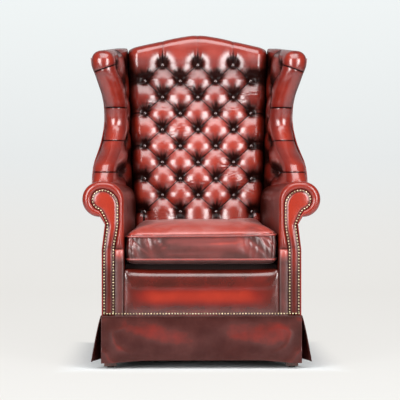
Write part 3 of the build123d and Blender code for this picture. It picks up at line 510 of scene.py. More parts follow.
def add_pair(name, mesh, material, slot, replaced=(), **options):
    """Dress a right-hand mesh and its mirror image."""
    for side, half in (("left", mirrored(mesh)), ("right", mesh)):
        nodes = [f"{side}_{node}" for node in replaced]
        add_piece(f"{side}_{name}", half, material, slot, nodes, **options)


def tube(points, radius, sides=8, mesh=None, rub=0.6, closed=False):
    """A round cord through points; a closed one joins its own start."""
    count = len(points)

    def place(column, row):
        here = points[row % count]
        before = points[(row - 1) % count] if closed or row > 0 else here
        after = points[(row + 1) % count] if closed or row < count - 1 else here
        along = (after - before).normalized()
        side = along.cross(Vector((0, 0, 1)))
        side = side.normalized() if side.length > 1e-3 else Vector((1, 0, 0))
        up = side.cross(along)
        turn = 2 * math.pi * column / sides
        return here + (side * math.cos(turn) + up * math.sin(turn)) * radius, rub

    return surface(sides, count if closed else count - 1, place, loop=True, mesh=mesh)


# Buttoned fields

@dataclass
class Tufting:
    """A field of staggered buttons: heights, pleats, and rub with painted shade around each one."""
    half_pitch: float
    row_pitch: float
    spans: tuple
    rows: int
    seam_drop: float
    button_drop: float
    pucker_drop: float
    reach: float
    seed: float

    def read(self, x, v):
        """How far a place lies under the crowns, its rub with painted shade and its map; v runs down from the
        top row at 0.
        """
        held_x = clamp(x, *self.spans)
        held_v = clamp(v, -self.row_pitch * (self.rows - 1), 0)
        p = (held_x / self.half_pitch + held_v / self.row_pitch) / 2
        q = (held_x / self.half_pitch - held_v / self.row_pitch) / 2
        near_p, near_q = round(p), round(q)
        u, w = 1 - 2 * abs(p - near_p), 1 - 2 * abs(q - near_q)
        bulge = 1 - (u ** 3 + w ** 3) ** 0.7
        beyond = min(abs(x - held_x) / self.half_pitch, abs(v - held_v) / self.row_pitch)
        bulge = max(bulge, smooth(beyond, 0, 0.5))
        button_x = self.half_pitch * (near_p + near_q)
        button_v = self.row_pitch * (near_p - near_q)
        real = self.spans[0] - 1e-4 <= button_x <= self.spans[1] + 1e-4
        real = real and -self.row_pitch * (self.rows - 0.5) <= button_v <= self.row_pitch * 0.5
        pit, pucker, fan = 0.0, 0.0, 0.0
        if real:
            dx, dv = x - button_x, v - button_v
            away = math.hypot(dx, dv)
            pit = math.exp(-(away / self.reach) ** 1.6)
            turn = math.atan2(dv, dx)
            cell = near_p * 3.1 + near_q * 7.3 + self.seed
            above = max(math.sin(turn), 0.0)
            span = self.reach * (1.25 + 0.75 * above)
            rays = folds(math.cos(turn) * 4.4, math.sin(turn) * 4.4, cell)
            rays = 0.55 * rays + 0.45 * folds(math.cos(turn) * 10, math.sin(turn) * 10, cell + 5)
            ring = smooth(away, self.reach * 0.3, self.reach * 0.8) * math.exp(-(away / span) ** 2.4)
            pucker = ring * rays
            # The dark fan over each button is dye gathered in its folds and painted shade, reaching further
            # up where light from above is shut out
            span = self.reach * (1.15 + 1.15 * above ** 1.5)
            fan = min(1.25 * math.exp(-(away / (span * (0.5 + 0.8 * rays))) ** 1.5), 1.0)
        drop = self.seam_drop * (1 - bulge) + self.button_drop * pit
        drop += self.pucker_drop * pucker
        # Rubbed-off dye lightens the crowns; the fan and the puckers darken as dye and painted shade
        shade = clamp(0.74 + 0.26 * max(bulge, 0) - 0.8 * fan - 0.12 * pucker)
        return drop, shade, (p, q), smooth(beyond, 0.1, 0.02)


def button_mesh(places, radius):
    """Domed covered buttons at (spot, outward direction) places."""
    mesh = bmesh.new()
    rub = mesh.verts.layers.float.new("rub")
    mesh.loops.layers.uv.new("UVMap")
    for spot, outward in places:
        made = bmesh.ops.create_uvsphere(mesh, u_segments=20, v_segments=12, radius=radius)["verts"]
        bmesh.ops.scale(mesh, vec=(1, 1, 0.5), verts=made)
        turn = Vector((0, 0, 1)).rotation_difference(outward).to_matrix()
        for vert in made:
            vert[rub] = 0.6
            vert.co = spot + turn @ vert.co
    return mesh


# Stage

class ARMCHAIR_OT_stage(bpy.types.Operator):
    """Set up the floor, backdrop, lamps and camera"""
    bl_idname = "armchair.stage"
    bl_label = "Stage"

    def execute(self, context):
        scene = context.scene
        scene.view_settings.view_transform = "Standard"
        self.add_backdrop()
        self.add_lamps(scene)
        self.add_camera(scene)
        return {"FINISHED"}

    def add_backdrop(self):
        """One pale sweep of paper from the floor up the wall."""
        half_width, near, bend, radius, high = 9.0, -1.6, 3.5, 1.6, 7.0
        steps = 16

        def place(column, row):
            x = mix(-half_width, half_width, column)
            if row == 0:
                return Vector((x, near, 0)), 0
            if row > steps + 1:
                return Vector((x, bend + radius, high)), 0
            turn = math.pi / 2 * (row - 1) / steps
            spot = (x, bend + radius * math.sin(turn), radius * (1 - math.cos(turn)))
            return Vector(spot), 0

        mesh = surface(1, steps + 2, place, closed=False)
        for face in mesh.faces:
            face.smooth = True
        data = bpy.data.meshes.new("paper_sweep")
        mesh.to_mesh(data)
        mesh.free()
        material, tree = new_material("backdrop_paper")
        place = object_place(tree)
        height = add_node(tree, "SeparateXYZ", {0: place}).outputs["Z"]
        colour = ramp(tree, remap(tree, height, 0.0, 3.4),
                      [(0.0, linear("#F1EFEB")), (0.1, linear("#F0EFEC")), (0.25, linear("#EEF1F1")),
                       (0.6, linear("#F8FDFD"))])
        lit = add_node(tree, "BsdfDiffuse", {"Color": linear("#D6D9DA")})
        glow = add_node(tree, "Emission", {"Color": colour, "Strength": 1.0})
        path = add_node(tree, "LightPath", {})
        seen = calc(tree, "MAXIMUM", path.outputs["Is Camera Ray"], path.outputs["Is Transmission Ray"])
        plan = add_node(tree, "SeparateXYZ", {0: vector_calc(tree, "ABSOLUTE", place)})
        away = calc(tree, "MAXIMUM", plan.outputs["X"], plan.outputs["Y"])
        share = calc(tree, "MULTIPLY", seen, remap(tree, away, 0.35, 0.5, 0.0, 0.88, "SMOOTHSTEP"))
        show(tree, "MixShader", {0: share, 1: lit.outputs[0], 2: glow.outputs[0]})
        data.materials.append(material)
        paper = bpy.data.objects.new("paper_sweep", data)
        bpy.context.scene.collection.objects.link(paper)

    def add_lamps(self, scene):
        """Two tall soft boxes, one overhead, and a weak fill from the room."""
        lamps = [
            ("left_softbox", (-2.0, -2.8, 1.5), (0, 0, 0.75), 1.3, 2.5, 125),
            ("right_softbox", (2.0, -2.8, 1.5), (0, 0, 0.75), 1.3, 2.5, 125),
            ("overhead_softbox", (0, -1.2, 3.3), (0, 0, 0.6), 2.6, 2.4, 90),
        ]
        for name, at, target, wide, tall, power in lamps:
            light = bpy.data.lights.new(name, "AREA")
            light.shape = "RECTANGLE"
            light.size, light.size_y = wide, tall
            light.energy = power
            lamp = bpy.data.objects.new(name, light)
            lamp.location = at
            aim = Vector(target) - Vector(at)
            lamp.rotation_euler = aim.to_track_quat("-Z", "Y").to_euler()
            scene.collection.objects.link(lamp)
        world = bpy.data.worlds.new("studio_room")
        world.use_nodes = True
        tree = world.node_tree
        background = tree.nodes["Background"]
        background.inputs["Color"].default_value = linear("#F4F6F6")
        seen = add_node(tree, "LightPath", {}).outputs["Is Camera Ray"]
        tree.links.new(remap(tree, seen, 0.0, 1.0, 0.14, 0.9), background.inputs["Strength"])
        scene.world = world

    def add_camera(self, scene):
        """A long lens straight ahead, a little to the chair's left and turned back to it."""
        distance, aside, height, turn = 4.5, -97.2 * MM, 551.6 * MM, -math.radians(1.17)
        data = bpy.data.cameras.new("view")
        data.sensor_width = 36.0
        data.lens = 124.1
        data.clip_end = 60.0
        camera = bpy.data.objects.new("view", data)
        camera.location = (aside, FRONT - distance, height)
        camera.rotation_euler = (math.pi / 2, 0, turn)
        scene.collection.objects.link(camera)
        scene.camera = camera


# Inside back and crest

def back_tufting():
    """The back's field of buttons."""
    s = sizes()
    outer = s.button_pitch * 1.5
    return Tufting(half_pitch=s.button_pitch / 2, row_pitch=s.row_pitch, spans=(-outer, outer), rows=s.rows,
                   seam_drop=s.seam_drop, button_drop=s.button_drop, pucker_drop=1.8 * MM, reach=12 * MM,
                   seed=0.0)


class ARMCHAIR_OT_back(bpy.types.Operator):
    """Cover the inside back and the crest with deeply buttoned hide"""
    bl_idname = "armchair.back"
    bl_label = "Inside back"

    edge_bend, edge_drop = 40 * MM, 52 * MM
    crest_reach, crest_fall = 42 * MM, 58 * MM

    def execute(self, context):
        s = sizes()
        field = back_tufting()
        step_x, step_v = s.button_pitch / 60, s.row_pitch / 30
        # Columns from the middle out past the last button, and from there to the edge
        core, edge = 105, 10
        foot = s.top_row - (s.rows - 1) * s.row_pitch
        start = foot - int(foot / step_v) * step_v
        level_rows = round((s.top_row + 18 * MM - start) / step_v)
        neck_rows, turn_rows, fall_rows = 14, 28, 8
        rear = POST_REAR - 12 * MM

        def across(column, v):
            index = column - core - edge
            half = back_half(v)
            if abs(index) <= core:
                return index * step_x, half
            share = (abs(index) - core) / edge
            return math.copysign(mix(core * step_x, half, share), index), half

        def pull(x):
            """How far the pleat over a button of the top row draws the crest in."""
            return math.exp(-(abs(math.remainder(x, s.button_pitch)) / (7 * MM)) ** 1.2)

        def front_depth(x, v, half):
            """Depth, rub with painted shade, map and fold of the face towards the sitter."""
            above = v - s.top_row
            drop, shade, chart, fold = field.read(x, above)
            fade = smooth(above, 4 * MM, 70 * MM)
            pleat = pull(x) * smooth(above, 0, 12 * MM) * (1 - 0.7 * smooth(above, 20 * MM, 60 * MM))
            creases = folds(x / (38 * MM), v / (9 * MM), 8.1) * smooth(above, 0, -60 * MM)
            creases *= smooth(wander(x / (90 * MM), v / (70 * MM), 1.7), 0.05, 0.4)
            w = s.crown - drop * (1 - fade) - 3 * MM * pleat - 1 * MM * creases
            w += 1.6 * MM * wander(x / (60 * MM), v / (60 * MM), 3.3)
            edge_gap = half - abs(x)
            w -= self.edge_drop * (1 - math.sqrt(1 - (1 - clamp(edge_gap / self.edge_bend)) ** 2))
            high = smooth(above, -260 * MM, -10 * MM)
            shade = mix(shade, 0.8, smooth(above, 14 * MM, 70 * MM))
            shade -= 0.4 * high * (1 - fade) * smooth(above, 60 * MM, 0)
            # Painted shade in the gutter by the wings and in the creases
            shade -= 0.5 * smooth(edge_gap, 34 * MM, 0) + 0.15 * creases
            return w, shade, chart, fold * (1 - 0.97 * fade)

        def place(column, row):
            row_v = start + min(row, level_rows) * step_v
            x, half = across(column, row_v)
            if row <= level_rows:
                w, *rest = front_depth(x, row_v, half)
                return back_point(x, row_v, w), *rest
            knee = crest_rise(x) - self.crest_reach
            if row <= level_rows + neck_rows:
                v = mix(row_v, knee, (row - level_rows) / neck_rows)
                w, *rest = front_depth(x, v, half)
                return back_point(x, v, w), *rest
            w, shade, chart, fold = front_depth(x, knee, half)
            turn = clamp((row - level_rows - neck_rows) / turn_rows) * math.pi
            middle, reach = (w + rear) / 2, (w - rear) / 2
            v = knee + (self.crest_reach - 1.2 * MM * pull(x)) * math.sin(turn)
            w = middle + reach * math.cos(turn)
            # Painted shade in the pleats' notches and at the crest's ends by the wings
            shade = 0.76 - 0.1 * pull(x) - 0.3 * smooth(half - abs(x), 22 * MM, 0)
            if row > level_rows + neck_rows + turn_rows:
                fall = (row - level_rows - neck_rows - turn_rows) / fall_rows
                v = mix(knee, crest_rise(x) - self.crest_fall, fall)
            return back_point(x, v, w), shade, chart, fold

        columns = 2 * (core + edge)
        rows = level_rows + neck_rows + turn_rows + fall_rows
        mesh = surface(columns, rows, place)
        add_piece("inside_back", mesh, "tufted_hide", "tufted_leather", ["back_pad", "crest_roll"], fill=0.8)
        places = []
        outward = (back_point(0, 0, 1) - back_point(0, 0, 0)).normalized()
        for row in range(s.rows):
            count = 3 + row % 2
            for column in range(count):
                x = (column - (count - 1) / 2) * s.button_pitch
                w = s.crown - s.seam_drop - s.button_drop + 2.0 * MM
                places.append((back_point(x, s.top_row - row * s.row_pitch, w), outward))
        add_piece("back_button_caps", button_mesh(places, s.button_radius), "button_hide", "button_leather",
                  ["back_buttons"], flat_caps=False)
        return {"FINISHED"}


# Wings

# The roll's front at its waist, how far it comes forward over the arm, and its top
WING_ROOT, WING_REACH, WING_TOP = FRONT + 476 * MM, 230 * MM, 1062 * MM
# The roll's outer side at its waist and at the head, its radius, and the outer face's rear end
WING_WAIST, WING_SPREAD, WING_ROLL, WING_REAR = 338 * MM, 384 * MM, 42 * MM, 298 * MM


def wing_frame(share):
    """Edge places of the wing at a height share: front x, front y, roll radius, rear x, rear y and z."""
    x = mix(WING_WAIST, WING_SPREAD, read_shares(WING_SPREAD_SHARES, share))
    y = WING_ROOT - WING_REACH * read_shares(WING_REACH_SHARES, share)
    radius = WING_ROLL - 7 * MM * (1 - clamp(share))
    z = mix(ARM_TOP, WING_TOP, share)
    swell = 24 * MM * clamp((share - 0.6) / 0.35)
    return x, y, radius, WING_REAR + swell, rear_y(z), z


def wing_lift(share, y):
    """How much the wing's top climbs towards the back."""
    return clamp((share - 0.55) / 0.4) * 46 * MM * (y - WING_ROOT + WING_REACH) / (350 * MM)


def pleat_count(share):
    """Pleats below a height share, as a running number."""
    for index in range(len(WING_PLEAT_SHARES) - 1):
        low, high = WING_PLEAT_SHARES[index], WING_PLEAT_SHARES[index + 1]
        if share <= high:
            return index + (share - low) / (high - low)
    return len(WING_PLEAT_SHARES) - 1.0


class ARMCHAIR_OT_wings(bpy.types.Operator):
    """Cover the wings with their thick rolls and buttoned inner faces"""
    bl_idname = "armchair.wings"
    bl_label = "Wings"

    inner_cells, nose_cells, outer_cells, rear_cells = 64, 40, 10, 4
    level_rows, cap_rows = 190, 16
    cap_height, height = 40 * MM, WING_TOP - ARM_TOP
    # Distance of the two columns of buttons as a share of the inner face, and how deep they sit
    column_step, button_depth = 0.42, 15 * MM
    # Rows of the field that are counted below the arm, so that every place of the wing is inside it
    rows_below = 100

    def execute(self, context):
        full = 1 - self.cap_height / self.height
        field = Tufting(half_pitch=1.0, row_pitch=1.0, spans=(0.0, 2.0), rows=3 * self.rows_below,
                        seam_drop=8 * MM, button_drop=self.button_depth, pucker_drop=1.2 * MM, reach=0.28,
                        seed=40.0)

        def place(column, row):
            level = min(row, self.level_rows) / self.level_rows
            share = mix(-0.08, full, level)
            inset = 0.0
            if row > self.level_rows:
                turn = (row - self.level_rows) / self.cap_rows * math.pi / 2
                share = full + (1 - full) * math.sin(turn)
                inset = 1 - math.cos(turn) ** 0.9
            return self.spot(field, column % self.cells(), share, inset * 0.92)

        mesh = surface(self.cells(), self.level_rows + self.cap_rows, place, loop=True)
        add_pair("wing", mesh, "tufted_hide", "wing_leather", ["wing_pad"], fill=0.8)
        places = []
        for index in range(1, 5):
            places.append(self.button_place(WING_PLEAT_SHARES[index], 0.0))
            if index < 4:
                middle = (WING_PLEAT_SHARES[index] + WING_PLEAT_SHARES[index + 1]) / 2
                places.append(self.button_place(middle, 1.0))
        caps = button_mesh(places, sizes().button_radius)
        add_pair("wing_button_caps", caps, "button_hide", "button_leather", ["wing_buttons"], flat_caps=False)
        return {"FINISHED"}

    def cells(self):
        """Cells in one round of the wing."""
        return self.inner_cells + self.nose_cells + self.outer_cells + self.rear_cells

    def ends(self, share, inset):
        """The inner face's two ends, the roll's middle and radius, and the outer face's end."""
        x, y, radius, rear_x, back_y, z = wing_frame(share)
        up = (z - DECK) / math.cos(sizes().recline)
        seam = back_point(0, up, 0)[1]
        inner = back_half(up) + 0.4 * MM
        squeeze = (rear_x - inner) / 2 * inset * 0.7
        hub = Vector((x - radius, y + radius, z))
        small = radius * (1 - inset)
        start = Vector((inner + 0.3 * squeeze, seam, z))
        end = Vector((hub.x - small, hub.y, z))
        outer = Vector((rear_x - squeeze, back_y, z))
        return start, end, hub, small, outer, Vector((inner + 0.3 * squeeze, back_y, z))

    def across(self, share, place, inset):
        """A point of the inner face, from the roll at 0 to the back at 1, and its outward direction."""
        start, end = self.ends(share, inset)[:2]
        spot = end + (start - end) * place
        along = (start - end).normalized()
        return spot, Vector((-along.y, along.x, 0))

    def front_run(self, share):
        """Where the front column of buttons runs on the inner face."""
        return mix(0.42, 0.06, smooth(share, 0.3, 0.6))

    def button_place(self, share, column):
        """Where a button of the inner face sits, and its outward direction."""
        spot, outward = self.across(share, self.front_run(share) + column * self.column_step, 0.0)
        spot = spot - outward * self.button_depth
        spot.z += wing_lift(share, spot.y)
        return spot, outward

    def spot(self, field, column, share, inset):
        """One point of the wing's skin with its rub and painted shade, and its map."""
        hub, small, outer, corner = self.ends(share, inset)[2:]
        first = self.front_run(share)
        run = max(1 - column / self.inner_cells, 0.0)
        turn = clamp((column - self.inner_cells) / self.nose_cells) * math.pi
        slant = 12 * MM / self.height * smooth(share, 0.6, 0.85) * math.cos(turn) * smooth(run, first, 0)
        count = pleat_count(share - slant) - self.rows_below
        near = abs(math.remainder(count, 1.0))
        pinch = math.exp(-near / 0.018)
        soft = 1 - inset
        chart = (count, -count)
        if column <= self.inner_cells:
            spot, outward = self.across(share, run, inset)
            drop, shade, chart, fold = field.read((run - first) / self.column_step, 2 * count)
            fold *= soft * (0.5 + 0.5 * smooth(run, 0.0, 0.12))
            belly = 6 * MM * math.sin(math.pi * clamp(run * 1.05)) ** 0.7
            near_roll = smooth(run, 0.0, max(first, 0.1))
            level = mix(pinch * 3.5 * MM, drop, near_roll) * smooth(run, 1.0, 0.7)
            spot = spot + outward * (belly - level) * soft
            # Painted shade: the inner face darker than the roll, in its pleats, and deepest in the corner by
            # the back; the cap goes back to the roll's tone
            shade = mix(0.78 - 0.15 * pinch, shade * 0.66, near_roll)
            shade = mix(shade - 0.5 * smooth(run, 0.7, 1.0), 0.75, inset ** 0.5)
        elif column <= self.inner_cells + self.nose_cells:
            radius = small + (1.5 * MM * math.sin(math.pi * near) - 2.5 * MM * pinch) * soft
            radius += 1.2 * MM * wander(turn * 1.6, share * 14, 5.0) * soft
            spot = hub + Vector((-math.cos(turn) * radius, -math.sin(turn) * radius, 0))
            patches = wander(turn * 0.9, share * 7, 11.0)
            # Painted shade in the pleats' grooves, and dye with painted shade towards the roll's outer edge;
            # the patches are random tone
            shade = 0.74 - 0.15 * pinch - 0.14 * smooth(near, 0.25, 0.0) + 0.3 * patches
            shade -= 0.25 * smooth(turn, 2.2, 3.1) + 0.1 * smooth(turn, 0.8, 0.0)
            fold = 0.5 * soft * smooth(turn, 3.1, 2.4)
        else:
            at = column - self.inner_cells - self.nose_cells
            if at <= self.outer_cells:
                edge = hub + Vector((small, 0, 0))
                spot = edge + (outer - edge) * (at / self.outer_cells)
            else:
                spot = outer + (corner - outer) * ((at - self.outer_cells) / self.rear_cells)
            shade, fold = 0.45, 0.0
        return spot + Vector((0, 0, wing_lift(share, spot.y))), shade, chart, fold


# Arms

# The scroll arm in the front view: the silhouette of its pad, and the facing's outline inside it
ARM_INNER, ARM_FOOT = 254 * MM, 302 * MM
SHOULDER, SHOULDER_RADIUS = (316 * MM, 550 * MM), 62 * MM
SCROLL, SCROLL_RADIUS, SCROLL_FOOT = (332 * MM, 554 * MM), 58 * MM, 470 * MM
FACING_INNER, FACING_BEND, FACING_OUTER = 284 * MM, 271 * MM, 322 * MM
EYE, EYE_RADIUS = (325 * MM, 552 * MM), 35 * MM
COVER_FOOT = 166 * MM


def arc_point(centre, radius, angle):
    """A point on a circle in the front view, with the angle in degrees from the right."""
    turn = math.radians(angle)
    return Vector((centre[0] + radius * math.cos(turn), centre[1] + radius * math.sin(turn)))


def arm_profile(part, t):
    """The padded arm's silhouette in the front view, part by part."""
    neck, tuck = SHOULDER[0], 303 * MM
    if part == 0:
        return Vector((ARM_INNER, mix(ARM_FOOT, SHOULDER[1], t)))
    if part == 1:
        return arc_point(SHOULDER, SHOULDER_RADIUS, 180 - 90 * t)
    if part == 2:
        return Vector((mix(neck, SCROLL[0], t), ARM_TOP))
    if part == 3:
        return arc_point(SCROLL, SCROLL_RADIUS, 90 - 180 * t)
    if part == 4:
        return Vector((mix(SCROLL[0], neck, t), mix(SCROLL[1] - SCROLL_RADIUS, SCROLL_FOOT, t)))
    if part == 5:
        return Vector((mix(neck, tuck, t), SCROLL_FOOT))
    return Vector((mix(tuck, ARM_INNER, t), mix(SCROLL_FOOT, ARM_FOOT, min(t * 2, 1.0))))


def facing_profile(part, t, inset=0.0):
    """The flat facing's outline, part by part, beside the silhouette."""
    radius = EYE_RADIUS - inset
    top, shoulder = EYE[1] + radius, EYE[0] - FACING_BEND - inset
    throat, tuck = 310 * MM - inset, 300 * MM
    if part == 0:
        z = mix(ARM_FOOT, SHOULDER[1], t)
        return Vector((facing_inner(z) + inset, min(z, top - shoulder)))
    if part == 1:
        return arc_point((EYE[0], top - shoulder), shoulder, 180 - 90 * t)
    if part == 2:
        return Vector((EYE[0], top))
    if part == 3:
        return arc_point(EYE, radius, 90 - 162 * t)
    if part == 4:
        start = arc_point(EYE, radius, -72)
        lift = 6 * MM * math.sin(math.pi * t) * (1 - t)
        return Vector((mix(start.x, throat, t ** 0.8), mix(start.y, SCROLL_FOOT, t) + lift))
    if part == 5:
        return Vector((mix(throat, tuck, t), SCROLL_FOOT))
    return Vector((mix(tuck, FACING_INNER + inset, t), mix(SCROLL_FOOT, ARM_FOOT, min(t * 2, 1.0))))


def facing_inner(z):
    """The facing's inner edge, which steps in above the crease."""
    return mix(FACING_INNER, FACING_BEND, smooth(z, 385 * MM, 478 * MM))


class ARMCHAIR_OT_arms(bpy.types.Operator):
    """Cover the scroll arms, their rolled fronts and the strips under them"""
    bl_idname = "armchair.arms"
    bl_label = "Arms"

    cells = (44, 26, 4, 46, 10, 2, 6)
    lip_rows, run_rows = 18, 60
    lip_proud, lip_tuck, lip_round, lip_peak = 3 * MM, 8 * MM, 20 * MM, 0.45

    def execute(self, context):
        total = sum(self.cells)

        def place(column, row):
            part, left = 0, column
            while left > self.cells[part]:
                left -= self.cells[part]
                part += 1
            t = left / self.cells[part]
            outer, inner = arm_profile(part, t), facing_profile(part, t)
            if column == total:
                outer, inner = arm_profile(0, 0), facing_profile(0, 0)
            return self.spot(part, outer, inner, row)

        mesh = surface(total, self.lip_rows + self.run_rows, place, loop=True)
        add_pair("arm", mesh, "arm_hide", "arm_leather", ["arm_pad"], fill=0.85)
        self.add_strips()
        return {"FINISHED"}

    def spot(self, part, outer, inner, row):
        """One point of the arm's skin: over the rolled front edge, then back along the arm."""
        if row <= self.lip_rows:
            share = row / self.lip_rows
            flat = inner + (outer - inner) * share
            if share < self.lip_peak:
                depth = self.lip_tuck * (1 - share / self.lip_peak) ** 2
            else:
                rest = (share - self.lip_peak) / (1 - self.lip_peak)
                depth = self.lip_round * (1 - math.sqrt(max(1 - rest ** 2, 0)))
            knob = smooth(flat.y, 386 * MM, 402 * MM) if part in (0, 6) else 1.0
            depth = mix(7 * MM, depth - self.lip_proud, knob)
            # Painted shade in the groove by the facing and in the recessed lip below the knob; the lip also
            # darkens towards its foot
            shade = 0.76 - 0.5 * smooth(share, 0.16, 0.0) - 0.35 * (1 - knob)
            shade -= 0.25 * smooth(flat.y, 440 * MM, 400 * MM)
            return Vector((flat.x, FRONT + depth, flat.y)), shade
        share = (row - self.lip_rows) / self.run_rows
        y = mix(FRONT + self.lip_round - self.lip_proud, rear_y(outer.y), share)
        ripple = 1.5 * MM * wander(outer.x * 18, outer.y * 18, y * 9)
        hollow = 0.0
        if part <= 1:
            hollow = 3 * MM * math.sin(math.pi * share) * smooth(outer.y, 600 * MM, 520 * MM)
        x = outer.x + SIDE_DRIFT * (y - FRONT) + hollow + ripple * smooth(share, 0.02, 0.1)
        inside, under = 0.0, 0.0
        if part == 0:
            inside = 1.0
        elif part == 1:
            inside = smooth(outer.x, 310 * MM, 262 * MM)
        elif part == 3:
            under = smooth(outer.y, 560 * MM, 510 * MM)
        elif part >= 4:
            under = 1.0
        # Painted shade on the inner face, deepening towards the back, and under the scroll
        shade = 0.74 - 0.4 * inside - 0.3 * under - 0.3 * inside * smooth(share, 0.3, 1.0)
        return Vector((x, y, outer.y)), shade

    def add_strips(self):
        """Flat strips between the facings' nails and the border."""
        inner, top, cap_height, cover = 254.6 * MM, 392 * MM, 12 * MM, 24 * MM

        def place(column, row):
            across, up = column / 14, row / 60
            z = mix(COVER_FOOT, top, up)
            x = mix(inner, facing_inner(z) - 0.4 * MM, across)
            arch = math.sin(math.pi * across)
            swell = arch ** 0.7 * smooth(z, 340 * MM, 378 * MM)
            cap = math.sqrt(1 - clamp((z - top + cap_height) / cap_height) ** 2)
            y = FRONT + 3.5 * MM - (3 * MM * arch ** 0.5 + 3.5 * MM * swell) * cap + 6 * MM * (1 - cap)
            return Vector((x, y, z)), 0.4 + 0.5 * smooth(z, 345 * MM, 378 * MM) - 0.3 * (1 - arch ** 0.4)

        front = surface(14, 60, place, closed=False)
        made = bmesh.ops.extrude_face_region(front, geom=list(front.faces))
        moved = [item for item in made["geom"] if isinstance(item, bmesh.types.BMVert)]
        bmesh.ops.translate(front, vec=(0, cover, 0), verts=moved)
        add_pair("arm_strip", front, "seat_hide", "arm_leather", fill=0.9)


class ARMCHAIR_OT_facings(bpy.types.Operator):
    """Cover the scroll facings"""
    bl_idname = "armchair.facings"
    bl_label = "Facings"

    # Width, rise and rub of each ring from the edge inwards, in millimetres; the nails stand on the third;
    # the dark outer rings are dye and painted shade in the groove round the nails
    rings = ((0.0, 5.0, 0.5), (1.0, 1.2, 0.4), (7.0, 0.2, 0.35), (2.5, 1.6, 0.85), (4.0, 1.0, 1.0))

    def execute(self, context):
        mesh = bmesh.new()
        rub = mesh.verts.layers.float.new("rub")
        mesh.loops.layers.uv.new("UVMap")
        ring = [mesh.verts.new((spot.x, FRONT + 7 * MM, spot.y)) for spot in facing_outline(0.6 * MM, 4 * MM)]
        face = mesh.faces.new(ring)
        for thickness, rise, amount in self.rings:
            if thickness == 0:
                face = bmesh.ops.extrude_discrete_faces(mesh, faces=[face])["faces"][0]
            else:
                bmesh.ops.inset_region(mesh, faces=[face], thickness=thickness * MM, use_even_offset=True)
            bmesh.ops.translate(mesh, vec=(0, -rise * MM, 0), verts=face.verts)
            for vert in face.verts:
                z = vert.co.z
                fade = 0.3 + 0.3 * smooth(z, 300 * MM, 380 * MM) + 0.34 * smooth(z, 400 * MM, 480 * MM)
                vert[rub] = amount * (fade - 0.25 * smooth(abs(z - 398 * MM), 9 * MM, 0))
        bmesh.ops.triangulate(mesh, faces=[face])
        add_pair("arm_front", mesh, "arm_hide", "facing_leather", ["arm_facing"], fill=0.9)
        return {"FINISHED"}


def facing_outline(inset, step):
    """Points round the facing at about one step, from its inner foot over the scroll to its outer foot."""
    inner, outer = FACING_INNER + inset, FACING_OUTER - inset
    points = [Vector((inner, COVER_FOOT)), Vector((inner, ARM_FOOT))]
    for part in range(5):
        for index in range(1, 25):
            points.append(facing_profile(part, index / 24, inset))
    points += [Vector((outer, 390 * MM)), Vector((outer, COVER_FOOT))]
    return resampled(points, step)


def resampled(points, step):
    """Points at even steps along a path."""
    lengths = [0.0]
    for start, end in zip(points[:-1], points[1:]):
        lengths.append(lengths[-1] + (end - start).length)
    count = max(round(lengths[-1] / step), 1)
    spaced = []
    index = 0
    for number in range(count + 1):
        goal = lengths[-1] * number / count
        while index < len(points) - 2 and lengths[index + 1] < goal:
            index += 1
        share = clamp((goal - lengths[index]) / (lengths[index + 1] - lengths[index]))
        spaced.append(points[index] + (points[index + 1] - points[index]) * share)
    return spaced


class ARMCHAIR_OT_nails(bpy.types.Operator):
    """Drive the rows of nails round the facings and along the skirt"""
    bl_idname = "armchair.nails"
    bl_label = "Nails"

    edge_gap, lowest = 4 * MM, 176 * MM
    row_half, row_height = 318 * MM, 180.5 * MM

    def execute(self, context):
        s = sizes()
        spots = []
        for spot in facing_outline(self.edge_gap, s.nail_pitch):
            if spot.y > self.lowest:
                spots += [(side * spot.x, FRONT + 0.5 * MM, spot.y) for side in (1, -1)]
        count = round(2 * self.row_half / s.nail_pitch)
        for index in range(count + 1):
            x = mix(-self.row_half, self.row_half, index / count)
            spots.append((x, FRONT - 1.5 * MM, self.row_height))
        mesh = bmesh.new()
        for index, spot in enumerate(spots):
            made = bmesh.ops.create_uvsphere(mesh, u_segments=12, v_segments=8, radius=s.nail_radius)["verts"]
            for vert in made:
                vert.co = Vector((vert.co.x, vert.co.z * 0.55, vert.co.y)) + Vector(spot)
                vert.co.z += 0.5 * MM * wander(index * 1.7, 0.3, 0.2)
        add_piece("nails", mesh, "aged_brass", "facing_leather", flat_caps=False)
        return {"FINISHED"}


# Seat

def cushion_plan(angle, inset):
    """A point of the cushion's plan outline, with drawn-in sides and rounded corners."""
    front, rear = FRONT + 2 * MM, 132.3 * MM
    half_depth = (rear - front) / 2
    middle = (rear + front) / 2
    c, s = math.cos(angle), math.sin(angle)
    power = 0.22
    u = math.copysign(abs(c) ** power, c)
    v = math.copysign(abs(s) ** power, s)
    longest = max(abs(u), abs(v))
    u, v = u / longest ** 0.25, v / longest ** 0.25
    y = middle + v * (half_depth - inset)
    x = u * (252.8 * MM + SIDE_DRIFT * (y - FRONT) - inset)
    drawn_in = 0.012
    x *= 1 - drawn_in * (1 - v * v)
    y = middle + (y - middle) * (1 - drawn_in * (1 - u * u))
    return Vector((x, y, 0))


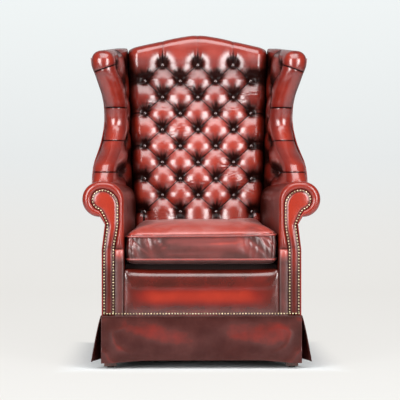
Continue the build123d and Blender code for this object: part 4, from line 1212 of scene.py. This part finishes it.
class ARMCHAIR_OT_cushion(bpy.types.Operator):
    """Make the loose boxed seat cushion with its piping"""
    bl_idname = "armchair.cushion"
    bl_label = "Seat cushion"

    # Heights of the two seams, the crown's run from its seam to the middle, and the plan's middle
    low, high = 357 * MM, 434 * MM
    crown_run, middle = 243 * MM, -130 * MM
    around = 320

    def execute(self, context):
        s = sizes()
        low, high, bottom = self.low, self.high, DECK + 0.4 * MM
        levels = []
        for index in range(16):
            t = index / 15
            inset = 40 * MM * (1 - t) ** 2.4 + 3 * MM * (1 - t)
            levels.append((mix(bottom, low, t ** 2.2), inset, "under"))
        for index in range(1, 20):
            t = index / 19
            levels.append((mix(low, high, t), -4 * MM * math.sin(math.pi * t) ** 0.8, "side"))
        for index in range(1, 60):
            levels.append((high, self.crown_run * index / 59, "crown"))

        def place(column, row):
            z, inset, kind = levels[row]
            spot = cushion_plan(self.angle(column), inset)
            run = inset / self.crown_run
            if kind == "crown":
                plump = smooth(spot.y, -150 * MM, 100 * MM)
                z = mix(high, s.cushion_top, read_shares(CROWN_SHARES, clamp(run * (1 + 2.5 * plump)) * 1.6))
            spot.z = z + self.tilt(spot, z)
            gather = folds(math.atan2(spot.y - self.middle, spot.x) * 16, z * 9, 2.0)
            corner = smooth(min(abs(abs(spot.x) - 0.25), abs(spot.y - FRONT)), 0.08, 0.0)
            outward = Vector((spot.x, spot.y - self.middle, 0)).normalized()
            # The underside below the low seam is painted dark as shade
            shade = 0.22
            if kind == "side":
                up = smooth(z, low, high)
                slant = folds((spot.x + 0.9 * z) * 26, spot.y * 19 + z * 6, 6.0) ** 2
                spot -= outward * (2.0 * MM * gather * (0.3 + up + corner) + 4.2 * MM * slant * (0.3 + up))
                patch = math.exp(-((spot.x - 0.04) / 0.12) ** 2) * smooth(up, 0.0, 0.5) * smooth(up, 1.0, 0.7)
                shade = 0.3 + 0.14 * patch + 0.1 * wander(spot.x * 12, spot.y * 12, z * 20)
                # Painted highlights along the slanting wrinkles of the side
                shade += 0.35 * slant * (0.4 + up)
            elif kind == "crown":
                ripple = folds(spot.x * 9, spot.y * 22, 4.0)
                near_corner = smooth(math.hypot(abs(spot.x) - 0.2, spot.y + 0.33), 0.16, 0.0)
                rays = folds(spot.x * 30 + spot.y * 12, spot.y * 20, 7.0) * near_corner
                spot.z -= (1.6 * ripple + 2.4 * rays) * MM * (1 - run)
                # The top is painted paler than the sides, as light from above, and darker in its ripples, as
                # shade
                shade = 0.93 - 0.12 * ripple + 0.1 * wander(spot.x * 8, spot.y * 8, 2.0)
            return spot, shade

        mesh = surface(self.around, len(levels) - 1, place, loop=True)
        add_piece("seat_cushion_cover", mesh, "seat_hide", "cushion_leather", ["seat_cushion"],
                  body="seat_cushion", fill=0.7, flat_caps=False)
        cords = bmesh.new()
        for z in (low, high):
            points = [cushion_plan(self.angle(index), -1.0 * MM) for index in range(self.around)]
            for spot in points:
                spot.z = z + self.tilt(spot, z)
            tube(points, s.piping_radius, mesh=cords, rub=0.75, closed=True)
        add_piece("cushion_piping", cords, "seat_hide", "cushion_leather", body="seat_cushion")
        return {"FINISHED"}

    def angle(self, column):
        """The turn of a column round the cushion, a hair past the axes so that none lies on them."""
        return 2 * math.pi * column / self.around + 0.001

    def tilt(self, spot, z):
        """The cushion leans a little to one side, and its front edge waves."""
        rise = smooth(z, self.low, self.low + 70 * MM)
        wave = 2.5 * MM * wander(spot.x * 6, spot.y * 4, 9.0)
        return rise * (spot.x * 0.016 + wave)


class ARMCHAIR_OT_border(bpy.types.Operator):
    """Pad the border over the front rail"""
    bl_idname = "armchair.border"
    bl_label = "Front border"

    def execute(self, context):
        half = 253.6 * MM
        low, top, rear, back = 165 * MM, 326 * MM, FRONT + 76 * MM, 306 * MM
        face = FRONT + 1.5 * MM
        # Cells up the face, over the edge, along the top, in a whole round, and from side to side
        rise, turn, flat, total, length = 44, 20, 10, 84, 120

        def place(column, row):
            x = mix(-half, half, row / length)
            gap = half - abs(x)
            side, end = smooth(gap, 0, 30 * MM), smooth(gap, 0, 8 * MM)
            radius = mix(20 * MM, 44 * MM, side)
            crown = top - 4 * MM * (1 - end) - 4 * MM * (1 - (x / half) ** 4)
            front = face + 3 * MM * (1 - end)
            up = 1.0
            step = column % total
            if step <= rise:
                up = step / rise
                z = mix(low, crown - radius, up)
                belly = 3.5 * MM * math.sin(math.pi * up) ** 0.6 + 2.5 * MM * smooth(up, 0.75, 1.0)
                y = front - side * belly
            elif step <= rise + turn:
                angle = (step - rise) / turn * math.pi / 2
                z = crown - radius + radius * math.sin(angle)
                y = front - 2.5 * MM * side + 0.8 * radius * (1 - math.cos(angle))
            elif step <= rise + turn + flat:
                z, y = crown, mix(front + 0.8 * radius, rear, (step - rise - turn) / flat)
            else:
                share = (step - rise - turn - flat) / flat
                z = mix(crown, back, min(2 * share, 1))
                y = mix(rear, front + 2 * MM, clamp(2 * share - 1))
                z = mix(z, low, clamp(2 * share - 1))
            red = smooth(up, 0.3, 0.6) * smooth(up, 1.0, 0.66) * smooth(gap, 20 * MM, 110 * MM)
            shade = 0.5 + 0.4 * red + 0.08 * wander(x * 14, z * 20, 4.0)
            return Vector((x, y, z)), shade

        mesh = surface(total, length, place, loop=True)
        add_piece("front_border_pad", mesh, "border_hide", "border_leather", ["front_border"], fill=0.9)
        return {"FINISHED"}


# Skirt

SKIRT_REAR = 254 * MM


def skirt_sheet(name, mesh, replaced):
    """A panel of hide that hangs from a seat rail."""
    piece = add_piece(name, mesh, "skirt_hide", "skirt_leather", [replaced])
    shell = piece.modifiers.new("thickness", "SOLIDIFY")
    shell.thickness = 2.4 * MM
    shell.offset = 0


class ARMCHAIR_OT_skirt(bpy.types.Operator):
    """Hang the four skirt panels and their welt"""
    bl_idname = "armchair.skirt"
    bl_label = "Skirt"

    def execute(self, context):
        s = sizes()
        top, hem = 174 * MM, s.hem_height
        half = 328 * MM

        def front(column, row):
            u, down = column / 200, row / 48
            x = mix(-half, half, u)
            edge = half - abs(x)
            low = hem - 9 * MM * smooth(edge, 150 * MM, 10 * MM)
            z = mix(top, low, down)
            hang = smooth(down, 0.0, 0.5)
            wave = 2.2 * MM * wander(x * 9, 0.4, down * 1.5) * hang
            corner = smooth(edge, 130 * MM, 0)
            crease = folds(abs(x) * 9 + z * 5, z * 19 - abs(x) * 6, 6.0) ** 2 * corner
            y = FRONT - 2.2 * MM - wave - 4 * MM * crease * hang
            red = smooth(wander(x * 7, z * 12, 1.0), -0.25, 0.35)
            shade = 0.36 + 0.42 * red * smooth(edge, 10 * MM, 70 * MM) * smooth(abs(down - 0.45), 0.5, 0.1)
            # Painted highlights on the corner creases; the paler hem is wear
            shade += 0.35 * crease + 0.2 * smooth(down, 0.97, 1.0)
            return Vector((x, y, z)), shade

        mesh = surface(200, 48, front, closed=False)
        skirt_sheet("front_skirt_panel", mesh, "front_skirt")

        def side(column, row):
            u, down = column / 160, row / 40
            y = mix(FRONT + 0.6 * MM, SKIRT_REAR, u)
            kick = 32 * MM * smooth(y, FRONT + 90 * MM, FRONT) * down ** 0.8
            wave = 3 * MM * (1 + wander(y * 9, 5.0, down * 1.2)) * smooth(down, 0, 0.6)
            x = 322 * MM + SIDE_DRIFT * (y - FRONT) + 5.6 * MM + kick + wave * smooth(u, 0.1, 0.25)
            z = mix(top, hem - 4 * MM * smooth(y, FRONT + 90 * MM, FRONT), down)
            shade = 0.28 + 0.25 * smooth(wander(y * 7, z * 12, 3.0), -0.2, 0.4)
            return Vector((x, y, z)), shade

        mesh = surface(160, 40, side, closed=False)
        for name, half_mesh in (("left", mirrored(mesh)), ("right", mesh)):
            skirt_sheet(name + "_skirt_panel", half_mesh, name + "_side_skirt")

        def rear(column, row):
            u, down = column / 120, row / 36
            x = mix(-298 * MM, 298 * MM, u)
            z = mix(top, hem, down)
            wave = 2 * MM * (1 + wander(x * 8, 8.0, down)) * smooth(down, 0, 0.6)
            return Vector((x, 261 * MM + wave, z)), 0.3

        mesh = surface(120, 36, rear, closed=False)
        skirt_sheet("back_skirt_panel", mesh, "back_skirt")
        self.add_welt()
        return {"FINISHED"}

    def add_welt(self):
        """Thin welt over the skirt's top edge."""
        x, z, radius = 328.5 * MM, 172 * MM, sizes().welt_radius
        shares = [index / 60 for index in range(61)]
        mesh = tube([Vector((mix(-x, x, share), FRONT - 4.2 * MM, z)) for share in shares], radius, rub=0.5)
        for sign in (-1, 1):
            side = [Vector((sign * (x + SIDE_DRIFT * (y - FRONT)), y, z))
                    for y in (mix(FRONT, SKIRT_REAR, share) for share in shares)]
            tube(side, radius, mesh=mesh, rub=0.4)
        add_piece("skirt_welt_cord", mesh, "skirt_hide", "skirt_leather", ["skirt_welt"])


class ARMCHAIR_OT_frame(bpy.types.Operator):
    """Finish the timber frame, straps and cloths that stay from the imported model"""
    bl_idname = "armchair.frame"
    bl_label = "Frame finishes"

    def execute(self, context):
        finishes = {
            "front_leg": "stained_mahogany", "back_post": "stained_mahogany", "glides": "moulded_nylon",
            "webbing": "jute_webbing", "dust_cover": "black_cambric", "seat_deck": "platform_cloth",
            "outside": "outside_hide", "end_cap": "outside_hide",
        }
        for name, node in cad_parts.items():
            if node.hide_render:
                continue
            chosen = "sawn_beech"
            for word, material in finishes.items():
                if word in name:
                    chosen = material
            node.data.materials.clear()
            node.data.materials.append(finish(chosen))
        return {"FINISHED"}


class ARMCHAIR_PT_sidebar(bpy.types.Panel):
    bl_idname = "ARMCHAIR_PT_sidebar"
    bl_label = "Armchair"
    bl_space_type = "VIEW_3D"
    bl_region_type = "UI"
    bl_category = "Armchair"

    def draw(self, context):
        for group in (context.scene.armchair_sizes, context.scene.armchair_colours):
            for name in group.bl_rna.properties.keys():
                if name not in ("rna_type", "name"):
                    self.layout.prop(group, name)
        for operator in OPERATORS:
            self.layout.operator(operator.bl_idname)


OPERATORS = (
    ARMCHAIR_OT_stage, ARMCHAIR_OT_back, ARMCHAIR_OT_wings, ARMCHAIR_OT_arms, ARMCHAIR_OT_facings,
    ARMCHAIR_OT_nails, ARMCHAIR_OT_cushion, ARMCHAIR_OT_border, ARMCHAIR_OT_skirt, ARMCHAIR_OT_frame,
)
CLASSES = (ArmchairSizes, ArmchairColours) + OPERATORS + (ARMCHAIR_PT_sidebar,)


def register():
    for item in CLASSES:
        bpy.utils.register_class(item)
    bpy.types.Scene.armchair_sizes = bpy.props.PointerProperty(type=ArmchairSizes)
    bpy.types.Scene.armchair_colours = bpy.props.PointerProperty(type=ArmchairColours)


def unregister():
    del bpy.types.Scene.armchair_colours
    del bpy.types.Scene.armchair_sizes
    for item in reversed(CLASSES):
        bpy.utils.unregister_class(item)


def main():
    """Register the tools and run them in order."""
    register()
    bpy.ops.armchair.stage()
    bpy.ops.armchair.back()
    bpy.ops.armchair.wings()
    bpy.ops.armchair.arms()
    bpy.ops.armchair.facings()
    bpy.ops.armchair.nails()
    bpy.ops.armchair.cushion()
    bpy.ops.armchair.border()
    bpy.ops.armchair.skirt()
    bpy.ops.armchair.frame()


if __name__ == "__main__":
    main()
